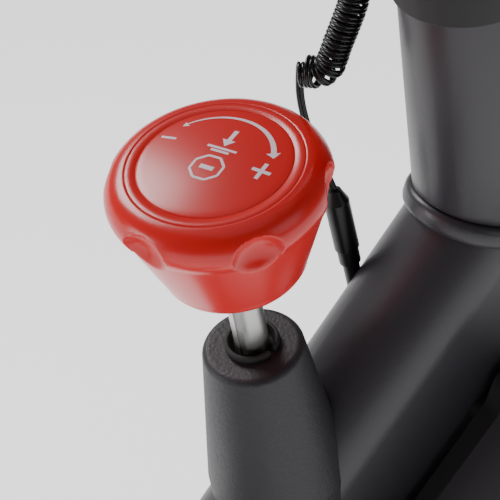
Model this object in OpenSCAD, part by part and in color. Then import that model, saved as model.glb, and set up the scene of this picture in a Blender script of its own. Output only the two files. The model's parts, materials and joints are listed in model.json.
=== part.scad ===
// Indoor spin bike: a welded frame of flat-oval tubes, a belt-driven flywheel, a friction
// brake worked by a push-and-turn tension knob, and a saddle and handlebar on sliding posts.
// X points forward, Y to the rider's left, Z up. The origin is on the floor, in the middle.

/* [Overall] */
// Length from the rear stabiliser to the front of the flywheel
bike_length = 1085; // [960:5:1310]
// Length of each stabiliser across the bike, with its end caps
bike_width = 520; // [430:5:630]
// Radius of the flywheel
flywheel_r = 225; // [185:1:272]
// Height of the flywheel above the floor
ground_gap = 65; // [50:1:80]

/* [Frame] */
// Slope of the main tube above level
tube_slope = 48; // [42:0.5:54]
// Rearward lean of the head tube and of the tension rod
head_lean = 10; // [8:0.5:14]
// Width of the main tube across the bike
tube_w = 48; // [42:1:58]
// Depth of the main tube
tube_d = 96; // [84:1:116]
// Wall of every frame tube
tube_wall = 3; // [2:0.1:4]
// Distance up the main tube from the crank to the tension rod
rod_reach = 414; // [380:1:500]
// Gap between the flywheel and the main tube
rim_gap = 50; // [46:1:60]
// Distance down the main tube from the tension rod to the foot of the flywheel's axle
axle_station = 137; // [125:1:150]
// Thickness of the mitre plate between main tube and head tube
mitre_t = 8.5; // [6:0.5:12]
// Distance up the main tube's ridge from the tension rod to the mitre plate
mitre_reach = 98; // [94:1:110]
// Width of the head tube
head_w = 46; // [42:1:52]
// Fore-and-aft depth of the head tube
head_d = 92; // [86:1:110]
// Height of the head tube's open end above the boss
head_top = 134; // [120:1:160]
// Rearward lean of the seat tube
seat_lean = 17; // [14:0.5:20]
// Length of the seat tube above the rear beam's centre line
seat_tube_l = 400; // [340:1:480]
// Inside gap of the fork
fork_gap = 124; // [122:1:148]
// Thickness of each fork blade
blade_t = 18; // [14:1:22]
// Distance from the flywheel's axle forward to the front stabiliser
stabiliser_reach = 110; // [95:1:130]

/* [Tension knob] */
// Diameter of the tension rod
rod_dia = 12; // [10:0.5:14]
// Height of the knob's engraved ring above the boss
knob_top = 83.3; // [76:0.1:100]
// Widest radius of the knob
knob_r = 36; // [30:0.5:43]
// Number of finger dishes round the knob
dish_count = 6; // [5:1:8]
// Radius of the boss at its top
boss_r = 18; // [15:0.5:21]
// Radius of the boss at the main tube
boss_base_r = 26.2; // [25:0.1:31]
// Height of the boss above the main tube's ridge
boss_h = 53.9; // [45:0.1:65]
// Travel of the knob when it is pushed
push_travel = 5; // [3:0.1:6]

/* [Drive] */
// Radius of the big belt pulley
pulley_r = 96; // [80:1:115]
// Radius of the flywheel's belt pulley
small_pulley_r = 32; // [27:1:38]
// Width of the belt
belt_w = 10; // [8:1:12]
// Diameter of the crank axle
crank_axle_dia = 20; // [17:1:24]
// Diameter of the flywheel's axle
axle_dia = 15; // [12:1:18]
// Length of each crank arm
crank_l = 170; // [140:1:180]
// Width across each pedal
pedal_w = 92; // [76:1:110]

/* [Saddle and bars] */
// Depth and width of the seat post
seat_post_size = [56, 30]; // [30:1:70]
// Length of the seat post
seat_post_l = 450; // [380:1:520]
// Length of the saddle
saddle_l = 270; // [230:1:300]
// Width of the saddle
saddle_w = 170; // [140:1:200]
// Depth and width of the handlebar post
bar_post_size = [62, 34]; // [30:1:70]
// Height of the handlebar's clamp above the boss
bar_clamp_up = 362; // [340:1:430]
// Radius of the handlebar tube
bar_r = 15; // [12:0.5:17]
// Half the width of the handlebar, to the middle of its side bars
bar_half_w = 150; // [130:1:180]

/* [Fits] */
// Radial clearance of a running fit
running = 0.05; // [0.02:0.01:0.1]
// Clearance of a sliding post in its liner, on each side
sliding = 0.3; // [0.2:0.05:0.5]

/* [Hidden] */
$fn = 96;
tiny = 0.01;

function heading(a) = [cos(a), 0, sin(a)];
up_tube = heading(tube_slope);
out_tube = heading(tube_slope + 90);
up_head = heading(90 + head_lean);
fore_head = heading(head_lean);
mitre_slope = (tube_slope + 90 + head_lean) / 2;

// Side-view places, from the flywheel back to the crank
axle_pt = [bike_length / 2 - flywheel_r, 0, flywheel_r + ground_gap];
ridge_pt = axle_pt + axle_station * up_tube + (tube_d + rim_gap + flywheel_r) * out_tube;
crank_pt = ridge_pt - rod_reach * up_tube - tube_d / 2 * out_tube;
rod_top = ridge_pt + boss_h * up_head;
mitre_pt = ridge_pt + mitre_reach * up_tube;
// Length of the rod inside the main tube
rod_in_tube = tube_d / cos(tube_slope - head_lean);
tube_exit_up = -boss_h - rod_in_tube;

// Stabilisers
stab_size = [80, 40];
stab_z = 55;
cap_l = 20;
front_stab = [axle_pt[0] + stabiliser_reach, 0, stab_z];
cap_proud = 3;
rear_stab = [-bike_length / 2 + (stab_size[0] + cap_proud) / 2, 0, stab_z];
foot_y = bike_width / 2 - 45;
foot_r = 22;
foot_stud_r = 5;
wheel_r = 25;
wheel_w = 22;
wheel_pin_r = 4;
wheel_y = bike_width / 2 - 80;
wheel_pt = front_stab + [stab_size[0] / 2 + wheel_r + 3, 0, -17];

// Head tube, centred on the handlebar post
mitre_rear = (mitre_pt - rod_top) * fore_head;
head_fore = mitre_rear + 1.6 + head_d / 2;
post_foot_up = -35;
liner_l = 60;
lip_h = 8;
lip_t = 2;

// Seat tube
beam_size = [60, 44];
beam_end = rear_stab + [20, 0, 15];
beam_dir = (beam_end - crank_pt) / norm(beam_end - crank_pt);
seat_foot = crank_pt + 95 * beam_dir;
seat_tube_size = seat_post_size + [10, 10];
post_start = seat_tube_l - 200;
seat_top = seat_foot + (post_start + seat_post_l) * heading(90 + seat_lean);

// Bottom bracket, belt and guard across the bike
shell_r = 30;
lug_l = 32;
shell_half = tube_w / 2 + 3;
bearing_r = 20;
guard_in = tube_w / 2 + 4;
guard_split = guard_in + 8;
guard_out = fork_gap / 2 - 3;
belt_mid = (guard_split + guard_out) / 2 - 5;
belt_t = 3;
arm_in = guard_out + 3;
arm_t = 15;
guard_gap = 18;

// Brake under the main tube: x is depth below the underside, z runs up the tube
lever_pivot = [15, -28];
lever_top = 21;
lever_t = 8;
lever_w = 30;
lever_ratio = 0.0122;
press_angle = lever_ratio * push_travel * 180 / PI;
tip_gap = 0.3;
rod_r = rod_dia / 2;
rod_tip_up = tube_exit_up - (lever_top - rod_r - tip_gap) / cos(tube_slope - head_lean);

// Lock knobs
lock_r = 5;
lock_head_r = 23;

// Handlebar
bar_pt = rod_top + head_fore * fore_head + bar_clamp_up * up_head;
bar_bend = 45;
bar_side_l = 105;
horn_bend = 50;
horn_l = 58;
grip_t = 3.5;
bridge_r = 11;
bridge_x = bar_bend + 55;

// Cord: lead and curly part, as places from the top of the boss
cord_d = 3;
curl_d = 11;
plug_foot = [62.4, 21.6, -16.2];
plug_tip = [55.4, 28, 25.4];
plug_axis = plug_tip - plug_foot;
plug_l = norm(plug_axis);
plug_neck_r = 3.2;
plug_r = 4.7;
plug_hold = 13;
lead_route = [plug_tip, [53, 35, 38], [51.3, 40.5, 49.6], [49.2, 41.5, 60.8], [47.5, 40, 72.2]];
curl_route = [
  [47.5, 40, 72.2], [49.7, 37.8, 72.4], [52, 34.5, 73], [54.3, 32.5, 75.8], [55.4, 31.8, 79.3],
  [56.6, 31.3, 84], [59, 30.3, 92], [61.4, 29.8, 100], [64, 30.5, 112], [67.5, 31.8, 128],
  [72, 33.5, 146], [80, 34.5, 172], [92, 35, 203], [107, 35, 237], [126, 35, 272],
  [147, 35, 307], [162, 35, 330], [168, 35, 340]
];

// ---- placing ----

// x is depth below the ridge, z runs up the main tube from the tension rod
module on_tube() translate(ridge_pt) rotate([0, 90 - tube_slope, 0]) children();

// x is depth below the main tube's underside
module under_tube() on_tube() translate([tube_d, 0, 0]) children();

// x points forward, z up the tension rod from the top of the boss
module on_rod() translate(rod_top) rotate([0, -head_lean, 0]) children();

// z is square to the mitre plate, x runs forward along it from the ridge
module on_mitre() translate(mitre_pt) rotate([0, 90 - mitre_slope, 0]) children();

// z runs up the seat tube
module on_seat() translate(seat_foot) rotate([0, -seat_lean, 0]) children();

// z runs from p to q in the side view
module from_to(p, q) translate(p) rotate([0, atan2((q - p)[0], (q - p)[2]), 0]) children();

// side-view outline made solid from y to y + t
module side_plate(y, t) translate([0, y + t, 0]) rotate([90, 0, 0]) linear_extrude(t) children();

// side-view places
module at_side(p) translate([p[0], p[2]]) children();

// cylinder along the bike's width, from y to y + h
module across(p, r, y, h) translate([p[0], y, p[2]]) rotate([-90, 0, 0]) cylinder(r = r, h = h);

// as drawn, and mirrored to the other side
module both_sides() {
  children();
  mirror([0, 1, 0]) children();
}

// ---- shapes ----

// flat-oval outline with half-round ends
module obround(size) {
  square([size[0] - size[1], size[1]], center = true);
  for (s = [-1, 1]) translate([s * (size[0] - size[1]) / 2, 0]) circle(size[1] / 2);
}

// flat-oval tube wall
module obround_tube(size, wall, h) linear_extrude(h) difference() {
  obround(size);
  obround(size - [2 * wall, 2 * wall]);
}

// outline with rounded corners
module rounded(size, r) {
  square([size[0] - 2 * r, size[1]], center = true);
  square([size[0], size[1] - 2 * r], center = true);
  for (x = [-1, 1], y = [-1, 1])
    translate([x * (size[0] / 2 - r), y * (size[1] / 2 - r)]) circle(r);
}

// tube swept along a route, with flat ends
module swept(route, d, sides = 8) {
  last = len(route) - 1;
  way = [for (i = [0:last]) let (v = route[min(i + 1, last)] - route[max(i - 1, 0)]) v / norm(v)];
  points = [for (i = [0:last])
    let (u = cross([1, 0.02, 0.1], way[i]), a = u / norm(u), b = cross(way[i], a))
    for (k = [0:sides - 1]) route[i] + d / 2 * (cos(360 * k / sides) * a + sin(360 * k / sides) * b)];
  walls = [for (i = [0:last - 1], k = [0:sides - 1])
    let (k2 = (k + 1) % sides, p = i * sides, q = p + sides)
    each [[p + k, q + k, q + k2], [p + k, q + k2, p + k2]]];
  ends = [[for (k = [0:sides - 1]) k], [for (k = [sides - 1:-1:0]) last * sides + k]];
  polyhedron(points, concat(walls, ends));
}

// route with extra points between its own, on a smooth curve through them
function smooth_at(p, i, t) =
  let (n = len(p) - 1, a = p[max(i - 1, 0)], b = p[i], c = p[min(i + 1, n)], d = p[min(i + 2, n)])
  0.5 * (2 * b + (c - a) * t + (2 * a - 5 * b + 4 * c - d) * t * t + (3 * b - a - 3 * c + d) * t * t * t);
function smoothed(p, steps) = concat(
  [for (i = [0:len(p) - 2], k = [0:steps - 1]) smooth_at(p, i, k / steps)], [p[len(p) - 1]]);

// ---- frame ----

module main_tube_solid() on_tube()
  translate([tube_d / 2, 0, lug_l - rod_reach]) linear_extrude(rod_reach - lug_l + mitre_reach + tube_d)
    obround([tube_d, tube_w]);

module main_tube_bore() on_tube()
  translate([tube_d / 2, 0, lug_l - rod_reach - 1]) linear_extrude(2 * rod_reach)
    obround([tube_d - 2 * tube_wall, tube_w - 2 * tube_wall]);

module above_mitre(h) on_mitre() translate([-300, -150, h]) cube([700, 300, 400]);

module main_tube() color("#3d3c43") difference() {
  main_tube_solid();
  main_tube_bore();
  above_mitre(0);
  on_rod() translate([0, 0, -boss_h - 60]) cylinder(r = rod_r + 1.5, h = 90);
  on_rod() translate([0, 0, tube_exit_up - 30]) cylinder(r = rod_r + 5, h = 60);
  on_plug() translate([0, 0, -plug_hold]) cylinder(r = plug_neck_r, h = 2 * plug_hold);
}

module post_channel(extra) on_rod() translate([head_fore, 0, -90]) linear_extrude(400)
  obround(bar_post_size + [2 * extra, 2 * extra]);

plate_size = [tube_d / cos(mitre_slope - tube_slope) + 6.2, tube_w + 3];

module mitre_plate() color("#37363c") difference() {
  on_mitre() translate([plate_size[0] / 2 - 3.4, 0, 0]) linear_extrude(mitre_t) obround(plate_size);
  post_channel(2);
}

module head_wall(low, high) on_rod()
  translate([head_fore, 0, low]) obround_tube([head_d, head_w], tube_wall, high - low);

lock_up = head_top - 19;

module post_lock_hole(r) on_rod() translate([head_fore, 0, lock_up]) rotate([0, 90, 0])
  cylinder(r = r, h = head_d);

module head_tube() color("#3d3c43") difference() {
  head_wall(-90, head_top);
  on_mitre() translate([-300, -150, mitre_t - 400]) cube([700, 300, 400]);
  post_lock_hole(lock_r + running);
}

module head_sleeve() color("#161618") difference() {
  on_rod() translate([head_fore, 0, 0]) {
    translate([0, 0, head_top - 37]) linear_extrude(37 + lip_h)
      obround([head_d + 2 * lip_t, head_w + 2 * lip_t]);
    translate([0, 0, head_top - liner_l]) linear_extrude(liner_l)
      obround([head_d - 2 * tube_wall, head_w - 2 * tube_wall]);
  }
  head_wall(head_top - 100, head_top);
  post_channel(sliding);
  post_lock_hole(lock_r + running);
}

crown_size = [58, fork_gap + 2 * blade_t, 22];
crown_up = -118;
crown_fore = 129;

module crown_bar() on_rod() translate([crown_fore, 0, crown_up])
  linear_extrude(crown_size[2]) rounded([crown_size[0], crown_size[1]], 8);

module fork_crown() color("#3d3c43") difference() {
  union() {
    crown_bar();
    on_rod() translate([crown_fore, 0, crown_up + crown_size[2] - tiny]) linear_extrude(90)
      rounded([crown_size[0], tube_w - 4], 6);
  }
  main_tube_solid();
  above_mitre(0);
}

module stab_solid(p, grow = 0) translate([p[0], bike_width / 2 - cap_l, p[2]]) rotate([90, 0, 0])
  linear_extrude(bike_width - 2 * cap_l) obround(stab_size + [2 * grow, 2 * grow]);

// side-view place from distances forward of and up the tension rod
function by_rod(fore, up) = rod_top + fore * fore_head + up * up_head;

module fork_blades() color("#3d3c43") difference() {
  both_sides() side_plate(fork_gap / 2, blade_t) {
    hull() {
      at_side(by_rod(crown_fore, crown_up - 4)) circle(25);
      at_side(axle_pt) circle(22);
    }
    hull() {
      at_side(axle_pt) circle(22);
      at_side(front_stab + [-6, 0, 6]) circle(20);
    }
  }
  crown_bar();
  stab_solid(front_stab);
  across(axle_pt, axle_dia / 2, -fork_gap, 2 * fork_gap);
}

// the shell is cast with a lug for the main tube and one for the rear beam
module bottom_bracket_shell() color("#3d3c43") difference() {
  union() {
    across(crank_pt, shell_r, -shell_half, 2 * shell_half);
    on_tube() translate([tube_d / 2, 0, -rod_reach]) linear_extrude(lug_l) obround([tube_d, tube_w]);
    from_to(crank_pt, beam_end) linear_extrude(lug_l) obround(beam_size);
  }
  across(crank_pt, bearing_r, -shell_half - 1, 2 * shell_half + 2);
}

module beam_solid() from_to(crank_pt, beam_end) translate([0, 0, lug_l])
  linear_extrude(norm(beam_end - crank_pt) - lug_l) obround(beam_size);

module rear_beam() color("#3d3c43") difference() {
  beam_solid();
  from_to(crank_pt, beam_end) linear_extrude(2 * rod_reach)
    obround(beam_size - [2 * tube_wall, 2 * tube_wall]);
  stab_solid(rear_stab);
}

module seat_lock_hole(r) on_seat() translate([0, 0, seat_tube_l - 24]) rotate([0, -90, 0])
  cylinder(r = r, h = seat_tube_size[0]);

module seat_wall(high) on_seat() obround_tube(seat_tube_size, tube_wall, high);

module seat_tube() color("#3d3c43") difference() {
  seat_wall(seat_tube_l);
  beam_solid();
  seat_lock_hole(lock_r + running);
}

module seat_post_channel() on_seat() linear_extrude(seat_tube_l + 100)
  obround(seat_post_size + [2 * sliding, 2 * sliding]);

module seat_sleeve() color("#161618") difference() {
  on_seat() {
    translate([0, 0, seat_tube_l - 34]) linear_extrude(34 + lip_h)
      obround(seat_tube_size + [2 * lip_t, 2 * lip_t]);
    translate([0, 0, seat_tube_l - liner_l]) linear_extrude(liner_l)
      obround(seat_tube_size - [2 * tube_wall, 2 * tube_wall]);
  }
  seat_wall(seat_tube_l);
  seat_post_channel();
  seat_lock_hole(lock_r + running);
}

module foot_holes(p) for (s = [-1, 1])
  translate([p[0], s * foot_y, stab_z - stab_size[1]]) cylinder(r = foot_stud_r + running, h = stab_size[1]);

module stabiliser(p) difference() {
  stab_solid(p);
  stab_solid(p, -tube_wall);
  foot_holes(p);
}

module wheel_fork() {
  for (s = [-1, 1]) side_plate(wheel_y + s * (wheel_w / 2 + 3.5) - 2, 4) difference() {
    hull() {
      at_side(wheel_pt) circle(9);
      at_side(front_stab + [stab_size[0] / 2 - 6, 0, -4]) circle(9);
    }
    at_side(front_stab) obround(stab_size);
  }
  across(wheel_pt, wheel_pin_r, wheel_y - wheel_w / 2 - 5.5, wheel_w + 11);
}

module front_stabiliser() color("#3d3c43") {
  stabiliser(front_stab);
  both_sides() wheel_fork();
}

module rear_stabiliser() color("#3d3c43") stabiliser(rear_stab);

module stabiliser_caps() color("#1b1b1d") for (p = [front_stab, rear_stab]) both_sides()
  translate([p[0], bike_width / 2 - cap_l, p[2]]) rotate([-90, 0, 0]) {
    linear_extrude(cap_l) obround(stab_size + [cap_proud, cap_proud]);
    translate([0, 0, -12]) linear_extrude(12 + tiny) obround(stab_size - [2 * tube_wall, 2 * tube_wall]);
  }

// ---- tension knob and brake ----

bush_r = rod_r + 1.6;
edge_r = 2.7;
skirt_l = 50;
flange_r = bush_r + 2;

module tension_boss() color("#3a393f") difference() {
  on_rod() rotate_extrude() polygon(concat(
    [[0, 0]],
    [for (a = [90:-10:0]) [boss_r - edge_r + edge_r * cos(a), -edge_r + edge_r * sin(a)]],
    [[boss_base_r, -boss_h - 12], [boss_base_r + 0.3, -boss_h - skirt_l], [0, -boss_h - skirt_l]]));
  main_tube_solid();
  on_rod() translate([0, 0, -boss_h - skirt_l - 1]) cylinder(r = bush_r, h = boss_h + skirt_l + 2);
}

module tension_bushes() color("#101012") on_rod() {
  difference() {
    rotate_extrude() polygon([
      [rod_r + running, -24], [bush_r, -24], [bush_r, 0], [flange_r - 0.4, 0], [flange_r, 0.8],
      [flange_r, 2.4], [flange_r - 0.5, 3.1], [flange_r - 1.3, 3.1], [rod_r + 1.1, -0.6],
      [rod_r + running, -1.2]
    ]);
    rotate([0, 0, -75]) translate([0, -1.1, -3]) cube([flange_r + 1, 2.2, 8]);
  }
  translate([0, 0, tube_exit_up - 10]) difference() {
    cylinder(r = rod_r + 5, h = 26);
    translate([0, 0, -1]) cylinder(r = rod_r + running, h = 28);
  }
}

collar_up = -boss_h - 52;
spring_foot_up = tube_exit_up + 16;
rod_head_up = knob_top - 13.5;

module tension_rod() color("#8c8b8e") on_rod() difference() {
  union() {
    translate([0, 0, rod_tip_up]) cylinder(r = rod_r, h = rod_head_up - rod_tip_up);
    translate([0, 0, rod_tip_up]) sphere(rod_r);
    translate([0, 0, collar_up]) cylinder(r = rod_r + 4, h = 4);
  }
  rotate([0, 0, 208]) translate([rod_r - 0.7, -1.4, collar_up + 12]) cube([2, 2.8, boss_h + 90]);
}

// half outline of the knob, from the rod out
knob_base_up = knob_top - 43;
rim_up = knob_top - 8.5;
crease_up = knob_top - 13;
ring_r = knob_r * 0.775;
dish_r = knob_r * 0.278;
dish_at = [knob_r + 4.5, 0, knob_top - 10.5];
first_dish = -45;

module knob_outline() polygon(concat(
  [[0, knob_base_up], [knob_r * 0.6, knob_base_up], [knob_r * 0.65, knob_base_up + 0.7],
    [knob_r * 0.678, knob_base_up + 2.2], [knob_r * 0.94, crease_up - 0.4]],
  [for (i = [0:8]) let (t = i / 8)
    [knob_r * (0.955 + 0.045 * sin(90 * t)), crease_up + t * (rim_up - crease_up)]],
  [for (a = [10:10:80]) [
    ring_r + (knob_r - ring_r) * cos(a), rim_up + (knob_top - rim_up) * sin(a)]],
  [[ring_r + 0.3, knob_top], [ring_r, knob_top - 0.2], [ring_r - 0.3, knob_top + 0.05],
    [ring_r * 0.89, knob_top + 0.15], [ring_r * 0.88, knob_top - 0.05], [ring_r * 0.87, knob_top + 0.2],
    [ring_r * 0.5, knob_top + 1], [0, knob_top + 1.4]]));

module tension_knob() color("#d81216") on_rod() difference() {
  rotate_extrude() knob_outline();
  for (i = [0:dish_count - 1]) rotate([0, 0, first_dish - i * 360 / dish_count])
    translate(dish_at) sphere(dish_r);
  translate([0, 0, knob_base_up - 1]) cylinder(r = rod_r + running, h = rod_head_up - knob_base_up + 1.3);
}

module return_spring() color("#9a9a9c") on_rod() translate([0, 0, spring_foot_up]) difference() {
  cylinder(r = rod_r + 3.6, h = collar_up - spring_foot_up);
  translate([0, 0, -1]) cylinder(r = rod_r + 1.2, h = collar_up - spring_foot_up + 2);
}

ear_y = lever_w / 2 + 1;
ear_t = 4;
ear_r = 16;
pin_r = 4;

module brake_bracket() color("#2e2e32") under_tube() {
  difference() {
    for (s = [-1, 1]) translate([0, s * (ear_y + ear_t / 2) - ear_t / 2, 0]) {
      translate([-tube_w / 4, 0, lever_pivot[1] - ear_r])
        cube([lever_pivot[0] + tube_w / 4, ear_t, 2 * ear_r]);
      translate([lever_pivot[0], ear_t, lever_pivot[1]]) rotate([90, 0, 0]) cylinder(r = ear_r, h = ear_t);
    }
    under_tube_cut();
  }
  pivot_pin(pin_r, ear_y + ear_t + 2);
}

// the main tube's own outline, in the frame of its underside
module under_tube_cut() translate([-tube_d / 2, 0, -200]) linear_extrude(300) obround([tube_d, tube_w]);

module pivot_pin(r, half) translate([lever_pivot[0], half, lever_pivot[1]]) rotate([90, 0, 0])
  cylinder(r = r, h = 2 * half);

pad_low = -160;
pad_high = -115;

module brake_lever() color("#77777b") under_tube() difference() {
  union() {
    translate([lever_pivot[0], lever_w / 2, lever_pivot[1]]) rotate([90, 0, 0])
      cylinder(r = 11, h = lever_w);
    translate([lever_top, -lever_w / 2, pad_low - 4])
      cube([lever_t, lever_w, lever_pivot[1] - pad_low + 4]);
    translate([lever_pivot[0], -lever_w / 2, lever_pivot[1] - 9])
      cube([lever_top + lever_t - lever_pivot[0], lever_w, 9]);
  }
  pivot_pin(pin_r + running, lever_w);
}

// the flywheel's centre in the frame of the tube's underside, with the lever pressed home
wheel_at = [rim_gap + flywheel_r, -axle_station];
wheel_rest = lever_pivot + [
  (wheel_at - lever_pivot) * [cos(press_angle), sin(press_angle)],
  (wheel_at - lever_pivot) * [-sin(press_angle), cos(press_angle)]];

module brake_pad() color("#c9c2b2") under_tube() difference() {
  translate([lever_top + lever_t, -lever_w / 2 + 3, pad_low]) cube([24, lever_w - 6, pad_high - pad_low]);
  translate([wheel_rest[0], lever_w, wheel_rest[1]]) rotate([90, 0, 0])
    cylinder(r = flywheel_r + 0.3, h = 2 * lever_w);
}

// ---- flywheel and drive ----

rim_w = 26;
rim_t = 45;
web_t = 8;
hub_r = 26;
hub_half = 24;
wheel_bearing_r = 16;
pulley_low = belt_mid - belt_w / 2 - 1;
pulley_high = belt_mid + belt_w / 2 + 1;

// profile swept round a side-view place: x is the radius, y runs to the rider's right
module turned(p) translate(p) rotate([90, 0, 0]) rotate_extrude() children();

module flywheel() color("#2b2b2f") {
  turned(axle_pt) difference() {
    union() {
      translate([flywheel_r - rim_t, -rim_w / 2]) square([rim_t - 1.5, rim_w]);
      translate([flywheel_r - rim_t, -rim_w / 2 + 1.5]) square([rim_t, rim_w - 3]);
      translate([hub_r - 1, -web_t / 2]) square([flywheel_r - rim_t - hub_r + 2, web_t]);
      translate([wheel_bearing_r, -hub_half]) square([hub_r - wheel_bearing_r, 2 * hub_half]);
      translate([wheel_bearing_r, hub_half - tiny])
        square([small_pulley_r - 8 - wheel_bearing_r, pulley_low - hub_half + 2 * tiny]);
      translate([wheel_bearing_r, pulley_low])
        square([small_pulley_r - wheel_bearing_r, pulley_high - pulley_low]);
    }
    for (s = [-1, 1]) translate([flywheel_r - rim_t - 12, s * web_t / 2]) circle(1.5);
  }
}

module flywheel_bearings() color("#a8a8ab") for (y = [-hub_half, pulley_high - 9])
  turned(axle_pt) translate([axle_dia / 2 + running, y])
    square([wheel_bearing_r - axle_dia / 2 - running, 9]);

nut_t = 9;

module flywheel_axle() color("#8f8f92") {
  across(axle_pt, axle_dia / 2, -fork_gap / 2 - blade_t - nut_t, fork_gap + 2 * blade_t + 2 * nut_t);
  both_sides() translate([axle_pt[0], fork_gap / 2 + blade_t, axle_pt[2]]) rotate([-90, 0, 0])
    difference() {
      cylinder(r = axle_dia * 0.8, h = nut_t - 2, $fn = 6);
      translate([0, 0, -1]) cylinder(r = axle_dia / 2, h = nut_t + 2);
    }
  both_sides() difference() {
    across(axle_pt, axle_dia / 2 + 5, pulley_high + 1, fork_gap / 2 - pulley_high - 1);
    across(axle_pt, axle_dia / 2, 0, fork_gap);
  }
}

// side-view outline of the belt guard
guard_line = tube_d * 0.632;
ear_at = 52;
guard_screw_r = 2.3;
screw_boss_r = 5;
screw_head_t = 2.2;

function by_tube(s, depth) = ridge_pt + s * up_tube - depth * out_tube;

module guard_outline(inset = 0) offset(delta = -inset) offset(r = -10) offset(r = 20) offset(r = -10) {
  hull() {
    at_side(crank_pt) circle(pulley_r + guard_gap);
    at_side(axle_pt) circle(small_pulley_r + guard_gap + 8);
  }
  polygon([for (p = [
    by_tube(-rod_reach + 60, guard_line + 60), by_tube(-rod_reach + 60, guard_line),
    by_tube(ear_at, guard_line), by_tube(ear_at + 30, guard_line - 15),
    by_tube(ear_at + 44, guard_line - 6), by_rod(crown_fore - 36, crown_up + 22),
    by_rod(crown_fore - 36, crown_up - 12), by_rod(crown_fore - 6, crown_up - 60),
    axle_pt + (small_pulley_r + 20) * fore_head, axle_pt
  ]) [p[0], p[2]]]);
}

// screws into the main tube's side
module tube_screws() for (s = [ear_at - 4, -rod_reach / 3])
  at_side(by_tube(s, tube_d - tube_w / 2 - 6)) children();

// screws between the two halves of the guard
module rim_screws() for (a = [170, 262])
  at_side(crank_pt + (pulley_r + guard_gap - 7) * heading(a)) children();

module guard_holes() side_plate(-guard_out - 1, guard_out) {
  tube_screws() circle(guard_screw_r);
  rim_screws() circle(guard_screw_r);
}

module belt_guard_inner() color("#0d0d0f") difference() {
  union() {
    side_plate(-guard_in - 3, 3) guard_outline();
    side_plate(-guard_split, guard_split - guard_in - 3) difference() {
      guard_outline();
      guard_outline(4);
    }
    side_plate(-guard_split, guard_split - guard_in) {
      tube_screws() circle(screw_boss_r);
      rim_screws() circle(screw_boss_r);
    }
    side_plate(-guard_in - tiny, guard_in - tube_w / 2 + tiny) tube_screws() circle(screw_boss_r);
  }
  across(crank_pt, shell_r + 1, -guard_split - 1, 20);
  across(axle_pt, small_pulley_r + 4, -guard_split - 1, 20);
  guard_holes();
}

module belt_guard_outer() color("#3a393f") difference() {
  union() {
    side_plate(-guard_out, 3) guard_outline();
    side_plate(-guard_out + 3, guard_out - 3 - guard_split) difference() {
      guard_outline();
      guard_outline(3);
    }
    side_plate(-guard_out + 3, guard_out - 3 - guard_split) {
      tube_screws() circle(screw_boss_r);
      rim_screws() circle(screw_boss_r);
    }
  }
  across(crank_pt, crank_axle_dia / 2 + 5, -guard_out - 1, 10);
  across(axle_pt, axle_dia / 2 + 6, -guard_out - 1, 10);
  guard_holes();
}

module guard_screws() color("#8f8f92") {
  side_plate(-guard_out, guard_out - guard_in) {
    tube_screws() circle(guard_screw_r);
    rim_screws() circle(guard_screw_r);
  }
  side_plate(-guard_out - screw_head_t, screw_head_t) {
    tube_screws() circle(2 * guard_screw_r);
    rim_screws() circle(2 * guard_screw_r);
  }
}

module belt_loop(grow) {
  hull() {
    at_side(crank_pt) circle(pulley_r + grow);
    at_side(axle_pt) circle(small_pulley_r + grow);
  }
}

module drive_belt() color("#141416") side_plate(-belt_mid - belt_w / 2, belt_w) difference() {
  belt_loop(belt_t);
  belt_loop(0.3);
}

module drive_pulley() color("#77777b") turned(crank_pt) {
  translate([pulley_r - 10, pulley_low]) square([10, pulley_high - pulley_low]);
  translate([crank_axle_dia / 2 + 12, belt_mid - 3]) square([pulley_r - crank_axle_dia / 2 - 20, 6]);
  translate([crank_axle_dia / 2, pulley_low]) square([14, pulley_high - pulley_low + 2]);
}

module crank_axle() color("#8f8f92")
  across(crank_pt, crank_axle_dia / 2, -arm_in - arm_t, 2 * (arm_in + arm_t));

module crank_bearings() color("#a8a8ab") both_sides() turned(crank_pt)
  translate([crank_axle_dia / 2 + running, shell_half - 12])
    square([bearing_r - crank_axle_dia / 2 - running, 12]);

crank_rest = 62;
spindle_r = 7;

// far end of a crank arm; side is 1 on the rider's left and -1 on the right
function pedal_pt(side) = crank_pt - side * crank_l * heading(crank_rest);

module crank_arm(side) difference() {
  side_plate(side > 0 ? arm_in : -arm_in - arm_t, arm_t) hull() {
    at_side(crank_pt) circle(21);
    at_side(pedal_pt(side)) circle(15);
  }
  across(crank_pt, crank_axle_dia / 2, -200, 400);
  across(pedal_pt(side), spindle_r + running, -200, 400);
}

module crank_arm_left() color("#2b2b2f") crank_arm(1);
module crank_arm_right() color("#2b2b2f") crank_arm(-1);

pedal_d = 72;
pedal_h = 22;
pedal_in = arm_in + arm_t + 6;

module on_pedal(side) translate([pedal_pt(side)[0], 0, pedal_pt(side)[2]]) scale_y(side) children();
module scale_y(side) mirror([0, side > 0 ? 0 : 1, 0]) children();

module pedal() {
  translate([0, pedal_in + pedal_w / 2, 0]) difference() {
    linear_extrude(pedal_h, center = true) rounded([pedal_d, pedal_w], 9);
    for (s = [-1, 1]) translate([s * (pedal_d / 4 + 3), 0, 0])
      linear_extrude(pedal_h + 2, center = true) rounded([pedal_d / 4 - 2, pedal_w - 26], 4);
  }
  across([0, 0, 0], spindle_r, arm_in, pedal_in - arm_in + tiny);
  across([0, 0, 0], spindle_r + 3, arm_in + arm_t + 0.5, pedal_in - arm_in - arm_t - 0.5 + tiny);
}

module pedal_left() color("#1d1d20") on_pedal(1) pedal();
module pedal_right() color("#1d1d20") on_pedal(-1) pedal();

cage_l = 84;
cage_h = 62;

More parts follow.
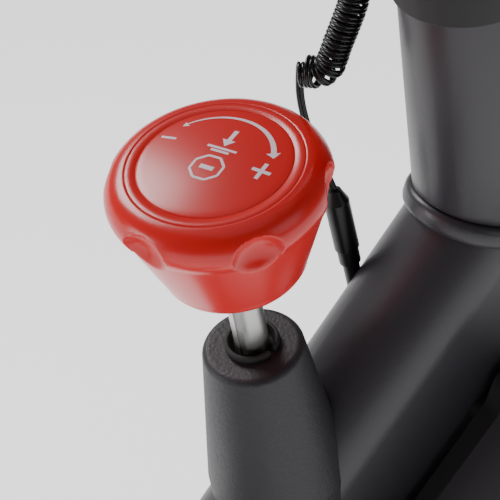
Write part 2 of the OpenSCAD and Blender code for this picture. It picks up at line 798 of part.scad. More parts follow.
module toe_cage() translate([0, pedal_in + (pedal_w - 56) / 2, 0]) {
  side_plate(0, 56) difference() {
    translate([pedal_d / 2 - 8, cage_h / 2 - pedal_h / 2 - 2.5]) difference() {
      obround([cage_l, cage_h]);
      obround([cage_l - 5, cage_h - 5]);
    }
    translate([-100, -50]) square([100 + pedal_d / 4, 200]);
    translate([-1, -pedal_h / 2]) square([pedal_d / 2 + 1, pedal_h]);
  }
}

module toe_cage_left() color("#101012") on_pedal(1) toe_cage();
module toe_cage_right() color("#101012") on_pedal(-1) toe_cage();

// ---- seat ----

slider_size = [230, 40, 20];
carriage_l = 116;
slider_z = 18;

module seat_post() color("#9b9b9f") difference() {
  union() {
    on_seat() translate([0, 0, post_start]) obround_tube(seat_post_size, 2.5, seat_post_l);
    translate(seat_top + [0, 0, -10]) linear_extrude(46)
      rounded([carriage_l, slider_size[1] + 16], 7);
  }
  translate(seat_top + [0, 0, slider_z]) cube(slider_size + [40, 2 * sliding, 2 * sliding], center = true);
  slider_lock_hole(4 + running);
}

module slider_lock_hole(r) translate(seat_top + [30, 0, slider_z]) rotate([90, 0, 0]) cylinder(r = r, h = 60);

strut_l = 14;

module saddle_slider() color("#2e2e32") translate(seat_top + [0, 0, slider_z]) {
  cube(slider_size, center = true);
  for (s = [-1, 1])
    translate([s * (slider_size[0] - strut_l) / 2 - strut_l / 2, -16, slider_size[2] / 2 - tiny])
      cube([strut_l, 32, strut_h]);
}

strut_h = 22;
rail_z = slider_z + slider_size[2] / 2 + strut_h;
rail_r = 3.5;
rail_y = 14;

module saddle_rails() color("#8f8f92") translate(seat_top + [-slider_size[0] / 2, 0, rail_z + rail_r])
  for (s = [-1, 1]) translate([0, s * rail_y, 0]) rotate([0, 90, 0]) cylinder(r = rail_r, h = slider_size[0]);

saddle_z = rail_z + 2 * rail_r;
saddle_back = 8;
seat_pad_r = 70;
nose_r = 22;

module saddle() color("#1d1d20") translate(seat_top + [-saddle_back, 0, saddle_z]) hull() {
  translate([-saddle_l / 2 + 52, 0, 0]) scale([0.72, saddle_w / 150, 1])
    cylinder(r1 = seat_pad_r - 10, r2 = seat_pad_r + 4, h = nose_r, $fn = 40);
  translate([saddle_l / 2 - nose_r, 0, 0]) cylinder(r1 = nose_r - 6, r2 = nose_r, h = 20, $fn = 24);
  translate([-saddle_l / 2 + 58, 0, nose_r]) scale([0.8, saddle_w / 170, 0.3])
    sphere(seat_pad_r, $fn = 36);
  translate([saddle_l / 2 - nose_r - 4, 0, 18]) scale([1, 1, 0.8]) sphere(nose_r, $fn = 24);
}

// ---- handlebar ----

stem_size = [72, 62, 44];

module handlebar_post() color("#9b9b9f") difference() {
  on_rod() translate([head_fore, 0, 0]) {
    translate([0, 0, post_foot_up]) obround_tube(bar_post_size, 3, bar_clamp_up - post_foot_up - 20);
    translate([0, 0, bar_clamp_up - stem_size[2] / 2]) linear_extrude(stem_size[2])
      rounded([stem_size[0], stem_size[1]], 10);
  }
  across(bar_pt, bar_r, -100, 200);
}

module bar_half() {
  across([0, 0, 0], bar_r, 0, bar_half_w - bar_bend);
  translate([bar_bend, bar_half_w - bar_bend, 0]) rotate([0, 0, 90])
    rotate_extrude(angle = 90) translate([bar_bend, 0]) circle(bar_r);
  translate([bar_bend, bar_half_w, 0]) rotate([0, 90, 0]) cylinder(r = bar_r, h = bar_side_l);
  translate([bar_bend + bar_side_l, bar_half_w, horn_bend]) rotate([90, 0, 0]) rotate([0, 0, -90])
    rotate_extrude(angle = 90) translate([horn_bend, 0]) circle(bar_r);
  translate([bar_bend + bar_side_l + horn_bend, bar_half_w, horn_bend]) cylinder(r = bar_r, h = horn_l);
  across([bridge_x, 0, 0], bridge_r, 0, bar_half_w);
}

module handlebar() color("#2b2b2f") translate(bar_pt) both_sides() bar_half();

module grip(h) difference() {
  cylinder(r = bar_r + grip_t, h = h);
  translate([0, 0, -1]) cylinder(r = bar_r, h = h + 2);
}

module bar_grips() color("#101012") translate(bar_pt) both_sides() {
  translate([0, 40, 0]) rotate([-90, 0, 0]) grip(bar_half_w - bar_bend - 42);
  translate([bridge_x + 14, bar_half_w, 0]) rotate([0, 90, 0]) grip(bar_side_l + bar_bend - bridge_x - 16);
  translate([bar_bend + bar_side_l + horn_bend, bar_half_w, horn_bend + 2]) grip(horn_l - 2);
}

console_tilt = 48;
console_size = [92, 132, 24];
console_low = 12;
console_face = console_low + console_size[2];
button_at = [24, 26];

module on_console() translate(bar_pt + [bridge_x, 0, 0]) rotate([0, -console_tilt, 0]) children();

button_r = 8;
button_lift = 3;
button_well = 6;
button_gap = 2;

module console() color("#17171a") on_console() difference() {
  union() {
    translate([console_size[0] / 2 + 6, 0, console_low]) linear_extrude(console_size[2])
      rounded([console_size[0], console_size[1]], 14);
    translate([-6, -18, -bridge_r - 4]) cube([44, 36, bridge_r + 4 + console_low + tiny]);
  }
  rotate([0, console_tilt, 0]) across([0, 0, 0], bridge_r, -100, 200);
  for (s = [-1, 1]) translate([button_at[0], s * button_at[1], console_face - button_well])
    cylinder(r = button_r + 0.3, h = 20);
  translate([console_size[0] / 2 + 20, 0, console_face - 1.2]) linear_extrude(5) rounded([50, 104], 6);
}

module button(side) on_console()
  translate([button_at[0], side * button_at[1], console_face - button_well + button_gap])
    cylinder(r = button_r, h = button_well - button_gap + button_lift);

module button_left() color("#55555a") button(1);
module button_right() color("#55555a") button(-1);

// ---- lock knobs, feet and wheels ----

module star_head(h) linear_extrude(h) {
  circle(lock_head_r - 4);
  for (a = [0:60:300]) rotate(a) translate([lock_head_r - 7, 0]) circle(7);
}

// z points out of the tube; the screw's tip is at 0
module lock_knob(r, stand) {
  cylinder(r = r, h = stand + 2);
  translate([0, 0, stand]) star_head(20);
  translate([0, 0, stand - 7]) cylinder(r = 12, h = 7 + tiny);
}

module post_lock_knob() color("#101012") on_rod() translate([
  head_fore + bar_post_size[0] / 2 + sliding, 0, lock_up]) rotate([0, 90, 0])
  lock_knob(lock_r, (head_d - bar_post_size[0]) / 2 + lip_t + 9);

module seat_lock_knob() color("#101012") on_seat() translate([
  -seat_post_size[0] / 2 - sliding, 0, seat_tube_l - 24]) rotate([0, -90, 0])
  lock_knob(lock_r, (seat_tube_size[0] - seat_post_size[0]) / 2 + lip_t + 9);

module slider_lock_knob() color("#101012") translate(seat_top + [
  30, -slider_size[1] / 2 - sliding, slider_z]) rotate([90, 0, 0]) lock_knob(4, 18);

module foot(p, side) color("#161618") translate([p[0], side * foot_y, 0]) {
  cylinder(r = foot_r, h = 8);
  cylinder(r = foot_r - 5, h = 13);
  cylinder(r = foot_stud_r, h = stab_z);
  translate([0, 0, 20]) cylinder(r = 9, h = 8, $fn = 6);
}

module foot_front_left() foot(front_stab, 1);
module foot_front_right() foot(front_stab, -1);
module foot_rear_left() foot(rear_stab, 1);
module foot_rear_right() foot(rear_stab, -1);

module wheel(side) color("#1b1b1d") translate([0, side * wheel_y, 0]) turned(wheel_pt) difference() {
  translate([wheel_pin_r + running, -wheel_w / 2]) square([wheel_r - wheel_pin_r - running, wheel_w]);
  for (s = [-1, 1]) translate([wheel_r - 10, s * wheel_w / 2]) circle(3);
}

module wheel_left() wheel(1);
module wheel_right() wheel(-1);

// ---- cord ----

// z runs up the plug from where it enters the main tube
module on_plug() translate(rod_top + plug_foot)
  rotate([0, acos(plug_axis[2] / plug_l), atan2(plug_axis[1], plug_axis[0])]) children();

module cord_plug() color("#0a0a0b") on_plug() rotate_extrude() polygon([
  [0, -plug_hold], [plug_neck_r, -plug_hold], [plug_neck_r, 9], [plug_r - 0.6, 9.8],
  [plug_r - 0.6, 16], [plug_r, 16.6], [plug_r, plug_l - 5], [cord_d / 2 + 1, plug_l], [0, plug_l]
]);

// top lead, from the curly part to the plug under the console
top_plug_r = 4;
top_plug_l = 12;
top_plug_gap = 0.5;
top_plug_at = [30, 35];
function from_console(x, y, z) = bar_pt - rod_top + [
  bridge_x + x * cos(console_tilt) - z * sin(console_tilt), y,
  x * sin(console_tilt) + z * cos(console_tilt)];
top_route = [
  curl_route[len(curl_route) - 1], [176, 35, 352], [184, 35, 366], [188.5, 35, 380], [187, 35, 392],
  from_console(top_plug_at[0], top_plug_at[1], console_low - top_plug_l - top_plug_gap)
];

module cord_lead() color("#0a0a0b") translate(rod_top) {
  swept(smoothed(lead_route, 3), cord_d);
  swept(smoothed(top_route, 2), cord_d);
}

module cord_curl() color("#0a0a0b") translate(rod_top) swept(smoothed(curl_route, 2), curl_d, 12);

module cord_top_plug() color("#0a0a0b") on_console()
  translate([top_plug_at[0], top_plug_at[1], console_low - top_plug_l])
    cylinder(r = top_plug_r, h = top_plug_l);

main_tube();
mitre_plate();
head_tube();
head_sleeve();
fork_crown();
fork_blades();
bottom_bracket_shell();
rear_beam();
seat_tube();
seat_sleeve();
front_stabiliser();
rear_stabiliser();
stabiliser_caps();
tension_boss();
tension_bushes();
tension_rod();
tension_knob();
return_spring();
brake_bracket();
brake_lever();
brake_pad();
flywheel();
flywheel_bearings();
flywheel_axle();
belt_guard_inner();
belt_guard_outer();
guard_screws();
drive_belt();
drive_pulley();
crank_axle();
crank_bearings();
crank_arm_left();
crank_arm_right();
pedal_left();
pedal_right();
toe_cage_left();
toe_cage_right();
seat_post();
saddle_slider();
saddle_rails();
saddle();
handlebar_post();
handlebar();
bar_grips();
console();
button_left();
button_right();
post_lock_knob();
seat_lock_knob();
slider_lock_knob();
foot_front_left();
foot_front_right();
foot_rear_left();
foot_rear_right();
wheel_left();
wheel_right();
cord_plug();
cord_lead();
cord_curl();
cord_top_plug();
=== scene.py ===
import json
import logging
import math
from dataclasses import dataclass
from enum import Enum
from typing import Sequence

import bmesh
import bpy
from mathutils import Matrix, Vector

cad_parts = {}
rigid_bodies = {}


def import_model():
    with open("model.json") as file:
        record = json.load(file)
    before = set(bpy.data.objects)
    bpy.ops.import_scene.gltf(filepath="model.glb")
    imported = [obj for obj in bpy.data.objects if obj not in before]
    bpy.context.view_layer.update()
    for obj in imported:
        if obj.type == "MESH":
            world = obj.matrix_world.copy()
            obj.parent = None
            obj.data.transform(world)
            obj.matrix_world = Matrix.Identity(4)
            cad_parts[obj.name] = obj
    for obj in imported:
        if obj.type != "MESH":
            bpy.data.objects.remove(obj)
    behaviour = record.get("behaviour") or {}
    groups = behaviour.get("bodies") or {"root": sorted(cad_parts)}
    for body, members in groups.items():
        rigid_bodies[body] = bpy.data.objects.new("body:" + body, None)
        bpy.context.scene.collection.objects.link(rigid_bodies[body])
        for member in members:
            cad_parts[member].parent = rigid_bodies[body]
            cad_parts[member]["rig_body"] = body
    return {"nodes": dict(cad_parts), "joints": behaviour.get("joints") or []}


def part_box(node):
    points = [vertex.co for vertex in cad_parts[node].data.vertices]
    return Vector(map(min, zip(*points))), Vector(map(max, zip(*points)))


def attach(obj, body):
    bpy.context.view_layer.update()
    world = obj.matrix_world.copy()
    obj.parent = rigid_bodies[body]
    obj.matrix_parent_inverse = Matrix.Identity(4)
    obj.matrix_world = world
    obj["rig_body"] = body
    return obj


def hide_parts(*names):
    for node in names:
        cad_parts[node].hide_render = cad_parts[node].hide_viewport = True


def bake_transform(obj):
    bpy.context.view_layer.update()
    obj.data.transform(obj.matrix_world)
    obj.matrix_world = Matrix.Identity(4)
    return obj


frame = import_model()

log = logging.getLogger("spin_bike")
MM = 0.001
Point = tuple[float, float]


# ---- places ----


def joint(name: str) -> dict:
    """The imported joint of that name."""
    return next(j for j in frame["joints"] if j["name"] == name)


class Axes:
    """A local frame of the bike: x forward, y to the rider's left, z along its own axis."""

    def __init__(self, origin: Sequence[float], up: Sequence[float]) -> None:
        """Stands at origin, with z along up."""
        self.origin = Vector(origin)
        self.z = Vector(up).normalized()
        self.y = Vector((0.0, 1.0, 0.0))
        self.x = self.y.cross(self.z)

    def at(self, x: float, y: float, z: float) -> Vector:
        """The bike's point for local x, y, z."""
        return self.origin + self.x * x + self.y * y + self.z * z


KNOB_JOINT_HEIGHT = 60 * MM
BORE_AXIS = -Vector(joint("tension_push")["axis"])
ROD = Axes(Vector(joint("knob_turn")["pos_m"]) - KNOB_JOINT_HEIGHT * BORE_AXIS, BORE_AXIS)


def across(place: Sequence[float], side: float = 1.0) -> Axes:
    """Local frame with z pointing out across the bike; side is 1 for the rider's left."""
    axes = Axes(place, (0.0, 0.0, 1.0))
    axes.x, axes.y, axes.z = Vector((1.0, 0.0, 0.0)), Vector((0.0, 0.0, -side)), Vector((0.0, side, 0.0))
    return axes


# ---- shader maths ----


class Value:
    """One shader output, whose arithmetic adds Math nodes."""

    def __init__(self, recipe: "Recipe", socket: bpy.types.NodeSocket) -> None:
        """Wraps a socket of the recipe's node tree."""
        self.recipe = recipe
        self.socket = socket

    def maths(self, operation: str, first: object, second: object = None) -> "Value":
        """Adds one Math node.

        Args:
            operation: Blender's name of the operation.
            first: value or number for the first input.
            second: value or number for the second input, if it has one.

        Returns:
            The node's result.
        """
        inputs = {0: first} if second is None else {0: first, 1: second}
        return self.recipe.value("ShaderNodeMath", {"operation": operation}, inputs)

    def __add__(self, other: object) -> "Value":
        """Sum."""
        return self.maths("ADD", self, other)

    def __sub__(self, other: object) -> "Value":
        """Difference."""
        return self.maths("SUBTRACT", self, other)

    def __mul__(self, other: object) -> "Value":
        """Product."""
        return self.maths("MULTIPLY", self, other)

    def __radd__(self, other: object) -> "Value":
        """Sum with a number on the left."""
        return self.maths("ADD", other, self)

    def __rsub__(self, other: object) -> "Value":
        """Difference from a number on the left."""
        return self.maths("SUBTRACT", other, self)

    def __rmul__(self, other: object) -> "Value":
        """Product with a number on the left."""
        return self.maths("MULTIPLY", other, self)

    def step(self, low: float, high: float) -> "Value":
        """0 below low and 1 above high, smooth between."""
        settings = {"interpolation_type": "SMOOTHSTEP"}
        inputs = {"Value": self, "From Min": low, "From Max": high}
        return self.recipe.value("ShaderNodeMapRange", settings, inputs)


class Recipe:
    """A material that is being built from nodes."""

    def __init__(self, name: str) -> None:
        """Starts an empty material with a Principled shader."""
        self.material = bpy.data.materials.new(name)
        self.material.use_nodes = True
        self.nodes = self.material.node_tree.nodes
        self.links = self.material.node_tree.links
        self.shader = self.nodes["Principled BSDF"]

    def node(self, kind: str, settings: dict | None = None, inputs: dict | None = None) -> bpy.types.Node:
        """Adds a node.

        Args:
            kind: the node's type.
            settings: its properties, which are set first.
            inputs: a value, number or colour for each input's name or index.

        Returns:
            The node.
        """
        made = self.nodes.new(kind)
        for key, setting in (settings or {}).items():
            setattr(made, key, setting)
        for key, source in (inputs or {}).items():
            self.feed(made.inputs[key], source)
        return made

    def feed(self, socket: bpy.types.NodeSocket, source: object) -> None:
        """Links or sets one input."""
        if isinstance(source, Value):
            self.links.new(source.socket, socket)
        else:
            socket.default_value = source

    def value(self, kind: str, settings: dict | None = None, inputs: dict | None = None,
              output: int | str = 0) -> Value:
        """Adds a node and returns one of its outputs."""
        return Value(self, self.node(kind, settings, inputs).outputs[output])

    def place(self) -> Value:
        """The surface's place, in the piece's own metres."""
        return self.value("ShaderNodeTexCoord", output="Object")

    def stretched(self, place: Value, scale: Sequence[float]) -> Value:
        """The place with each axis scaled."""
        return self.value("ShaderNodeVectorMath", {"operation": "MULTIPLY"}, {0: place, 1: tuple(scale)})

    def noise(self, place: Value, size_mm: float, detail: float = 2.0) -> Value:
        """Noise between 0 and 1 with features of about that size."""
        inputs = {"Vector": place, "Scale": 1.0 / (size_mm * MM), "Detail": detail, "Roughness": 0.55}
        return self.value("ShaderNodeTexNoise", None, inputs)

    def cells(self, place: Value, size_mm: float) -> Value:
        """Distance from the middle of each cell of a random pattern."""
        inputs = {"Vector": place, "Scale": 1.0 / (size_mm * MM)}
        return self.value("ShaderNodeTexVoronoi", {"feature": "SMOOTH_F1"}, inputs)

    def blend(self, factor: object, first: object, second: object) -> Value:
        """Mixes two colours, each a value or three numbers."""
        sides = [c if isinstance(c, Value) else (*c, 1.0) for c in (first, second)]
        inputs = {"Factor": factor, 6: sides[0], 7: sides[1]}
        return self.value("ShaderNodeMix", {"data_type": "RGBA"}, inputs, 2)

    def bump(self, height: Value, depth_mm: float) -> None:
        """Raises the surface's normal by a height pattern of that depth."""
        inputs = {"Height": height, "Distance": depth_mm * MM, "Strength": 1.0}
        self.feed(self.shader.inputs["Normal"], self.value("ShaderNodeBump", None, inputs))


# ---- finishes ----


class Grain(Enum):
    """The small relief of a surface."""

    POWDER = "orange-peel of a powder coat"
    LEATHER = "shallow leather grain of moulded plastic or cover"
    MOULDED = "fine spark-eroded plastic"
    BRUSHED = "fine lines along the part"
    ZINC = "mottled zinc plating"
    CAST = "rough casting"
    FIBRE = "matted fibre"
    FOAM = "small open cells"
    WOVEN = "webbing"
    SMOOTH = "polished"


@dataclass(frozen=True)
class Finish:
    """A surface finish: colour, gloss, grain and slight wear."""

    name: str
    slot: str | None
    colour: tuple[float, float, float]
    roughness: float
    grain: Grain
    size_mm: float = 0.6
    depth_mm: float = 0.03
    metallic: float = 0.0
    coat: float = 0.0
    vary: float = 0.12
    scuffs: float = 0.0
    sheen: float = 0.5

    def height(self, recipe: Recipe, place: Value) -> Value:
        """The relief pattern of the grain."""
        if self.grain is Grain.LEATHER:
            return recipe.cells(place, self.size_mm) + 0.5 * recipe.noise(place, self.size_mm * 0.5)
        if self.grain is Grain.BRUSHED:
            return recipe.noise(recipe.stretched(place, (1.0, 1.0, 0.03)), self.size_mm, 3.0)
        if self.grain is Grain.CAST:
            return recipe.noise(place, self.size_mm, 5.0)
        if self.grain is Grain.FIBRE:
            turned = recipe.stretched(place, (1.0, 0.2, 1.0))
            return recipe.noise(turned, self.size_mm, 4.0) + recipe.noise(place, self.size_mm, 4.0)
        if self.grain is Grain.FOAM:
            return recipe.cells(place, self.size_mm) + recipe.noise(place, self.size_mm * 0.4)
        if self.grain is Grain.WOVEN:
            settings = {"wave_type": "BANDS", "bands_direction": "DIAGONAL"}
            inputs = {"Vector": place, "Scale": 0.3 / (self.size_mm * MM), "Distortion": 0.4}
            return recipe.value("ShaderNodeTexWave", settings, inputs, "Fac")
        return recipe.noise(place, self.size_mm)

    def material(self) -> bpy.types.Material:
        """The finish as a Blender material, made once."""
        known = bpy.data.materials.get(self.name)
        return known if known else self.build(Recipe(self.name)).material

    def build(self, recipe: Recipe) -> Recipe:
        """Wires the nodes of the finish."""
        place = recipe.place()
        cloud = recipe.noise(place, 60.0, 3.0)
        height = self.height(recipe, place)
        dark = [c * (1 - self.vary) for c in self.colour]
        light = [min(1.0, c * (1 + self.vary)) for c in self.colour]
        colour = recipe.blend(cloud, dark, light)
        gloss = self.roughness + 0.10 * (cloud - 0.5) + 0.12 * (height - 0.5)
        if self.scuffs:
            lines = recipe.noise(recipe.stretched(place, (1.0, 0.9, 0.06)), 2.2, 4.0).step(0.66, 0.74)
            faint = lines * self.scuffs
            gloss = gloss + 0.25 * faint
            colour = recipe.blend(faint, colour, [min(1.0, 1.9 * c + 0.02) for c in self.colour])
        recipe.feed(recipe.shader.inputs["Base Color"], colour)
        recipe.feed(recipe.shader.inputs["Roughness"], gloss)
        recipe.shader.inputs["Metallic"].default_value = self.metallic
        recipe.shader.inputs["Coat Weight"].default_value = self.coat
        recipe.shader.inputs["Specular IOR Level"].default_value = self.sheen
        recipe.shader.inputs["Coat Roughness"].default_value = 0.12
        recipe.bump(height, self.depth_mm)
        return recipe


FRAME_PAINT = Finish("charcoal_powder_coat", "frame_paint", (0.028, 0.025, 0.031), 0.40,
                     Grain.POWDER, 0.9, 0.05, coat=0.05, scuffs=0.2)
BOSS_PLASTIC = Finish("boss_leather_grain", "boss_plastic", (0.024, 0.022, 0.027), 0.48,
                      Grain.LEATHER, 1.1, 0.10, sheen=0.4)
GUARD_PLASTIC = Finish("guard_plastic", "guard_plastic", (0.028, 0.025, 0.031), 0.46,
                       Grain.MOULDED, 0.5, 0.03, scuffs=0.3)
BLACK_PLASTIC = Finish("black_plastic", "black_plastic", (0.004, 0.004, 0.0045), 0.30,
                       Grain.MOULDED, 0.5, 0.02, sheen=0.35)
KNOB_RED = Finish("knob_red", "knob_red", (0.40, 0.0006, 0.001), 0.30, Grain.MOULDED, 0.35, 0.006,
                  vary=0.04, sheen=0.45)
KNOB_INK = Finish("knob_print_ink", None, (0.86, 0.70, 0.78), 0.45, Grain.MOULDED, 0.4, 0.01, vary=0.02)
ZINC = Finish("zinc_plate", "zinc_steel", (0.50, 0.50, 0.49), 0.34, Grain.ZINC, 1.6, 0.03,
              metallic=1.0, vary=0.3, scuffs=0.5)
SPRING_STEEL = Finish("spring_steel", "spring_steel", (0.42, 0.42, 0.43), 0.3, Grain.BRUSHED, 0.6, 0.01,
                      metallic=1.0)
BRUSHED_POST = Finish("brushed_aluminium", "brushed_post", (0.60, 0.60, 0.62), 0.3, Grain.BRUSHED, 0.5, 0.02,
                      metallic=1.0, scuffs=0.4)
CAST_IRON = Finish("coated_casting", "cast_iron", (0.030, 0.030, 0.033), 0.5, Grain.CAST, 2.2, 0.14, coat=0.1)
FELT = Finish("pressed_felt", "felt", (0.55, 0.50, 0.42), 0.95, Grain.FIBRE, 0.8, 0.25)
BELT_RUBBER = Finish("belt_rubber", "belt_rubber", (0.012, 0.012, 0.013), 0.6, Grain.MOULDED, 0.8, 0.04)
PULLEY_ALLOY = Finish("pulley_alloy", "pulley_alloy", (0.34, 0.34, 0.35), 0.36, Grain.BRUSHED, 0.6, 0.02,
                      metallic=1.0)
CRANK_ENAMEL = Finish("crank_enamel", "crank_steel", (0.018, 0.018, 0.020), 0.3,
                      Grain.POWDER, 1.2, 0.03, coat=0.4, scuffs=0.6)
PEDAL_NYLON = Finish("pedal_nylon", "pedal_plastic", (0.014, 0.014, 0.016), 0.5, Grain.MOULDED, 0.7, 0.05,
                     scuffs=0.6)
STRAP_WEBBING = Finish("strap_webbing", "pedal_plastic", (0.010, 0.010, 0.011), 0.85, Grain.WOVEN, 0.9, 0.2)
SADDLE_COVER = Finish("saddle_cover", "saddle_cover", (0.016, 0.016, 0.018), 0.48, Grain.LEATHER, 1.5, 0.12)
BAR_COATING = Finish("bar_coating", "bar_coating", (0.020, 0.020, 0.022), 0.4, Grain.POWDER, 0.8, 0.03)
GRIP_FOAM = Finish("grip_foam", "grip_foam", (0.013, 0.013, 0.014), 0.8, Grain.FOAM, 0.8, 0.15)
CONSOLE_CASE = Finish("console_case", "console_case", (0.014, 0.014, 0.016), 0.42, Grain.MOULDED, 0.5, 0.03)
BUTTON_RUBBER = Finish("button_rubber", "button_grey", (0.14, 0.14, 0.15), 0.6, Grain.MOULDED, 0.5, 0.02)
SCREEN_FACE = Finish("screen_face", None, (0.24, 0.28, 0.23), 0.12, Grain.SMOOTH, 3.0, 0.001,
                     coat=0.6, vary=0.04)
SCREEN_INK = Finish("screen_segments", None, (0.020, 0.024, 0.020), 0.2, Grain.SMOOTH, 3.0, 0.001, coat=0.5)
FOOT_RUBBER = Finish("foot_rubber", "foot_rubber", (0.015, 0.015, 0.016), 0.7, Grain.MOULDED, 1.0, 0.06)
CORD_JACKET = Finish("cord_jacket", "cord_black", (0.0025, 0.0025, 0.003), 0.24, Grain.SMOOTH, 2.0, 0.01,
                     sheen=0.4)
PLUG_JACKET = Finish("plug_jacket", "cord_black", (0.003, 0.003, 0.0035), 0.34, Grain.MOULDED, 0.7, 0.03,
                      sheen=0.35)

NODE_FINISHES: dict[Finish, tuple[str, ...]] = {
    FRAME_PAINT: ("main_tube", "mitre_plate", "head_tube", "fork_crown", "fork_blades",
                  "bottom_bracket_shell", "rear_beam", "seat_tube", "front_stabiliser",
                  "rear_stabiliser", "brake_bracket"),
    BLACK_PLASTIC: ("head_sleeve", "seat_sleeve", "stabiliser_caps", "tension_bushes", "belt_guard_inner",
                    "post_lock_knob", "seat_lock_knob", "slider_lock_knob"),
    BOSS_PLASTIC: ("tension_boss",),
    GUARD_PLASTIC: ("belt_guard_outer",),
    ZINC: ("tension_rod", "flywheel_axle", "guard_screws", "crank_axle", "saddle_rails", "flywheel_bearings",
           "crank_bearings", "brake_lever", "saddle_slider"),
    BRUSHED_POST: ("seat_post", "handlebar_post"),
    CAST_IRON: ("flywheel",),
    FELT: ("brake_pad",),
    BELT_RUBBER: ("drive_belt",),
    PULLEY_ALLOY: ("drive_pulley",),
    CRANK_ENAMEL: ("crank_arm_left", "crank_arm_right"),
    PEDAL_NYLON: ("pedal_left", "pedal_right", "toe_cage_left", "toe_cage_right"),
    BAR_COATING: ("handlebar",),
    CONSOLE_CASE: ("console",),
    BUTTON_RUBBER: ("button_left", "button_right"),
    FOOT_RUBBER: ("foot_front_left", "foot_front_right", "foot_rear_left", "foot_rear_right", "wheel_left",
                  "wheel_right"),
    PLUG_JACKET: ("cord_plug", "cord_top_plug"),
}

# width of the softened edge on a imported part, in millimetres
EDGE_MM: dict[str, float] = {
    "mitre_plate": 2.6, "head_sleeve": 0.8, "seat_sleeve": 0.8, "fork_crown": 2.0, "fork_blades": 2.0,
    "stabiliser_caps": 2.5, "belt_guard_outer": 1.0, "belt_guard_inner": 0.8, "crank_arm_left": 2.0,
    "crank_arm_right": 2.0, "console": 2.5, "handlebar_post": 1.5, "brake_bracket": 0.8, "brake_lever": 1.0,
    "post_lock_knob": 1.5, "seat_lock_knob": 1.5, "slider_lock_knob": 1.5, "button_left": 1.2,
    "button_right": 1.2, "foot_front_left": 1.5, "foot_front_right": 1.5, "foot_rear_left": 1.5,
    "foot_rear_right": 1.5, "wheel_left": 1.5, "wheel_right": 1.5, "saddle_slider": 0.8, "seat_tube": 0.8,
    "bottom_bracket_shell": 1.0, "toe_cage_left": 0.8, "toe_cage_right": 0.8, "pedal_left": 1.2,
    "pedal_right": 1.2, "tension_bushes": 0.25, "head_tube": 0.5, "flywheel_axle": 0.6,
}


# ---- meshes ----


class Shape:
    """Corners and faces that are gathered before they become one piece."""

    def __init__(self) -> None:
        """Starts empty."""
        self.verts: list[Vector] = []
        self.faces: list[Sequence[int]] = []

    def rows(self, rings: Sequence[Sequence[Vector]], closed: bool = True, caps: bool = True) -> "Shape":
        """Joins rings of corners into a skin.

        Args:
            rings: rows of corners, all of one length.
            closed: whether each row is a loop.
            caps: whether the first and last rows are filled.

        Returns:
            The shape itself.
        """
        start, count = len(self.verts), len(rings[0])
        for ring in rings:
            self.verts.extend(ring)
        for i in range(len(rings) - 1):
            for k in range(count if closed else count - 1):
                a, b = start + i * count + k, start + i * count + (k + 1) % count
                self.faces.append((a, b, b + count, a + count))
        if caps:
            self.faces.append(tuple(start + k for k in range(count))[::-1])
            self.faces.append(tuple(start + (len(rings) - 1) * count + k for k in range(count)))
        return self

    def lathe(self, axes: Axes, profile: Sequence[Point], sides: int = 48) -> "Shape":
        """Turns a profile of (radius, height), in metres, about the local z axis."""
        return self.rows([[axes.at(r * math.cos(a), r * math.sin(a), z) for a in turn(sides)]
                          for r, z in profile])

    def prism(self, axes: Axes, outline: Sequence[Point], low: float, high: float) -> "Shape":
        """Raises a flat outline from low to high along the local z axis."""
        return self.rows([[axes.at(x, y, z) for x, y in outline] for z in (low, high)])

    def tube(self, path: Sequence[Vector], radius: float, sides: int = 10,
             looped: bool = False) -> "Shape":
        """Sweeps a round section along a path.

        Args:
            path: the centreline.
            radius: the section's radius.
            sides: corners of the section.
            looped: whether the path returns to its start.

        Returns:
            The shape itself.
        """
        ways = directions(path, looped)
        side = ways[0].orthogonal().normalized()
        rings = []
        for point, way in zip(path, ways):
            side = (side - way * side.dot(way)).normalized()
            other = way.cross(side)
            rings.append([point + radius * (math.cos(a) * side + math.sin(a) * other) for a in turn(sides)])
        if looped:
            rings.append(rings[0])
        return self.rows(rings, caps=not looped)

    def piece(self, name: str, finish: Finish, body: str, sharp: float = 40.0) -> bpy.types.Object:
        """Makes one piece of the object.

        Args:
            name: the piece's name.
            finish: the surface finish.
            body: the body that it rides.
            sharp: edges that turn by more degrees than this stay crisp.

        Returns:
            The Blender object.
        """
        mesh = bpy.data.meshes.new(name)
        mesh.from_pydata([tuple(v) for v in self.verts], [], [tuple(f) for f in self.faces])
        mesh.validate()
        tidy = bmesh.new()
        tidy.from_mesh(mesh)
        bmesh.ops.remove_doubles(tidy, verts=tidy.verts, dist=1e-7)
        bmesh.ops.recalc_face_normals(tidy, faces=tidy.faces)
        tidy.to_mesh(mesh)
        tidy.free()
        mesh.shade_smooth()
        mesh.set_sharp_from_angle(angle=math.radians(sharp))
        mesh.materials.append(finish.material())
        made = bpy.data.objects.new(name, mesh)
        bpy.context.scene.collection.objects.link(made)
        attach(made, body)
        log.info("piece %s on %s: %d corners", name, body, len(mesh.vertices))
        return made


def turn(sides: int) -> list[float]:
    """Evenly spaced angles of a full turn."""
    return [2 * math.pi * k / sides for k in range(sides)]


def directions(path: Sequence[Vector], looped: bool = False) -> list[Vector]:
    """Unit direction at each point of a path."""
    n = len(path)
    if looped:
        return [(path[(i + 1) % n] - path[i - 1]).normalized() for i in range(n)]
    return [(path[min(i + 1, n - 1)] - path[max(i - 1, 0)]).normalized() for i in range(n)]


def smooth_route(points: Sequence[Vector], steps: int) -> list[Vector]:
    """A smooth curve through the points, with that many steps between each two."""
    last, made = len(points) - 1, []
    for i in range(last):
        a, b, c, d = points[max(i - 1, 0)], points[i], points[i + 1], points[min(i + 2, last)]
        for k in range(steps):
            t = k / steps
            made.append(0.5 * (2 * b + (c - a) * t + (2 * a - 5 * b + 4 * c - d) * t * t
                               + (3 * b - a - 3 * c + d) * t ** 3))
    return made + [points[last].copy()]


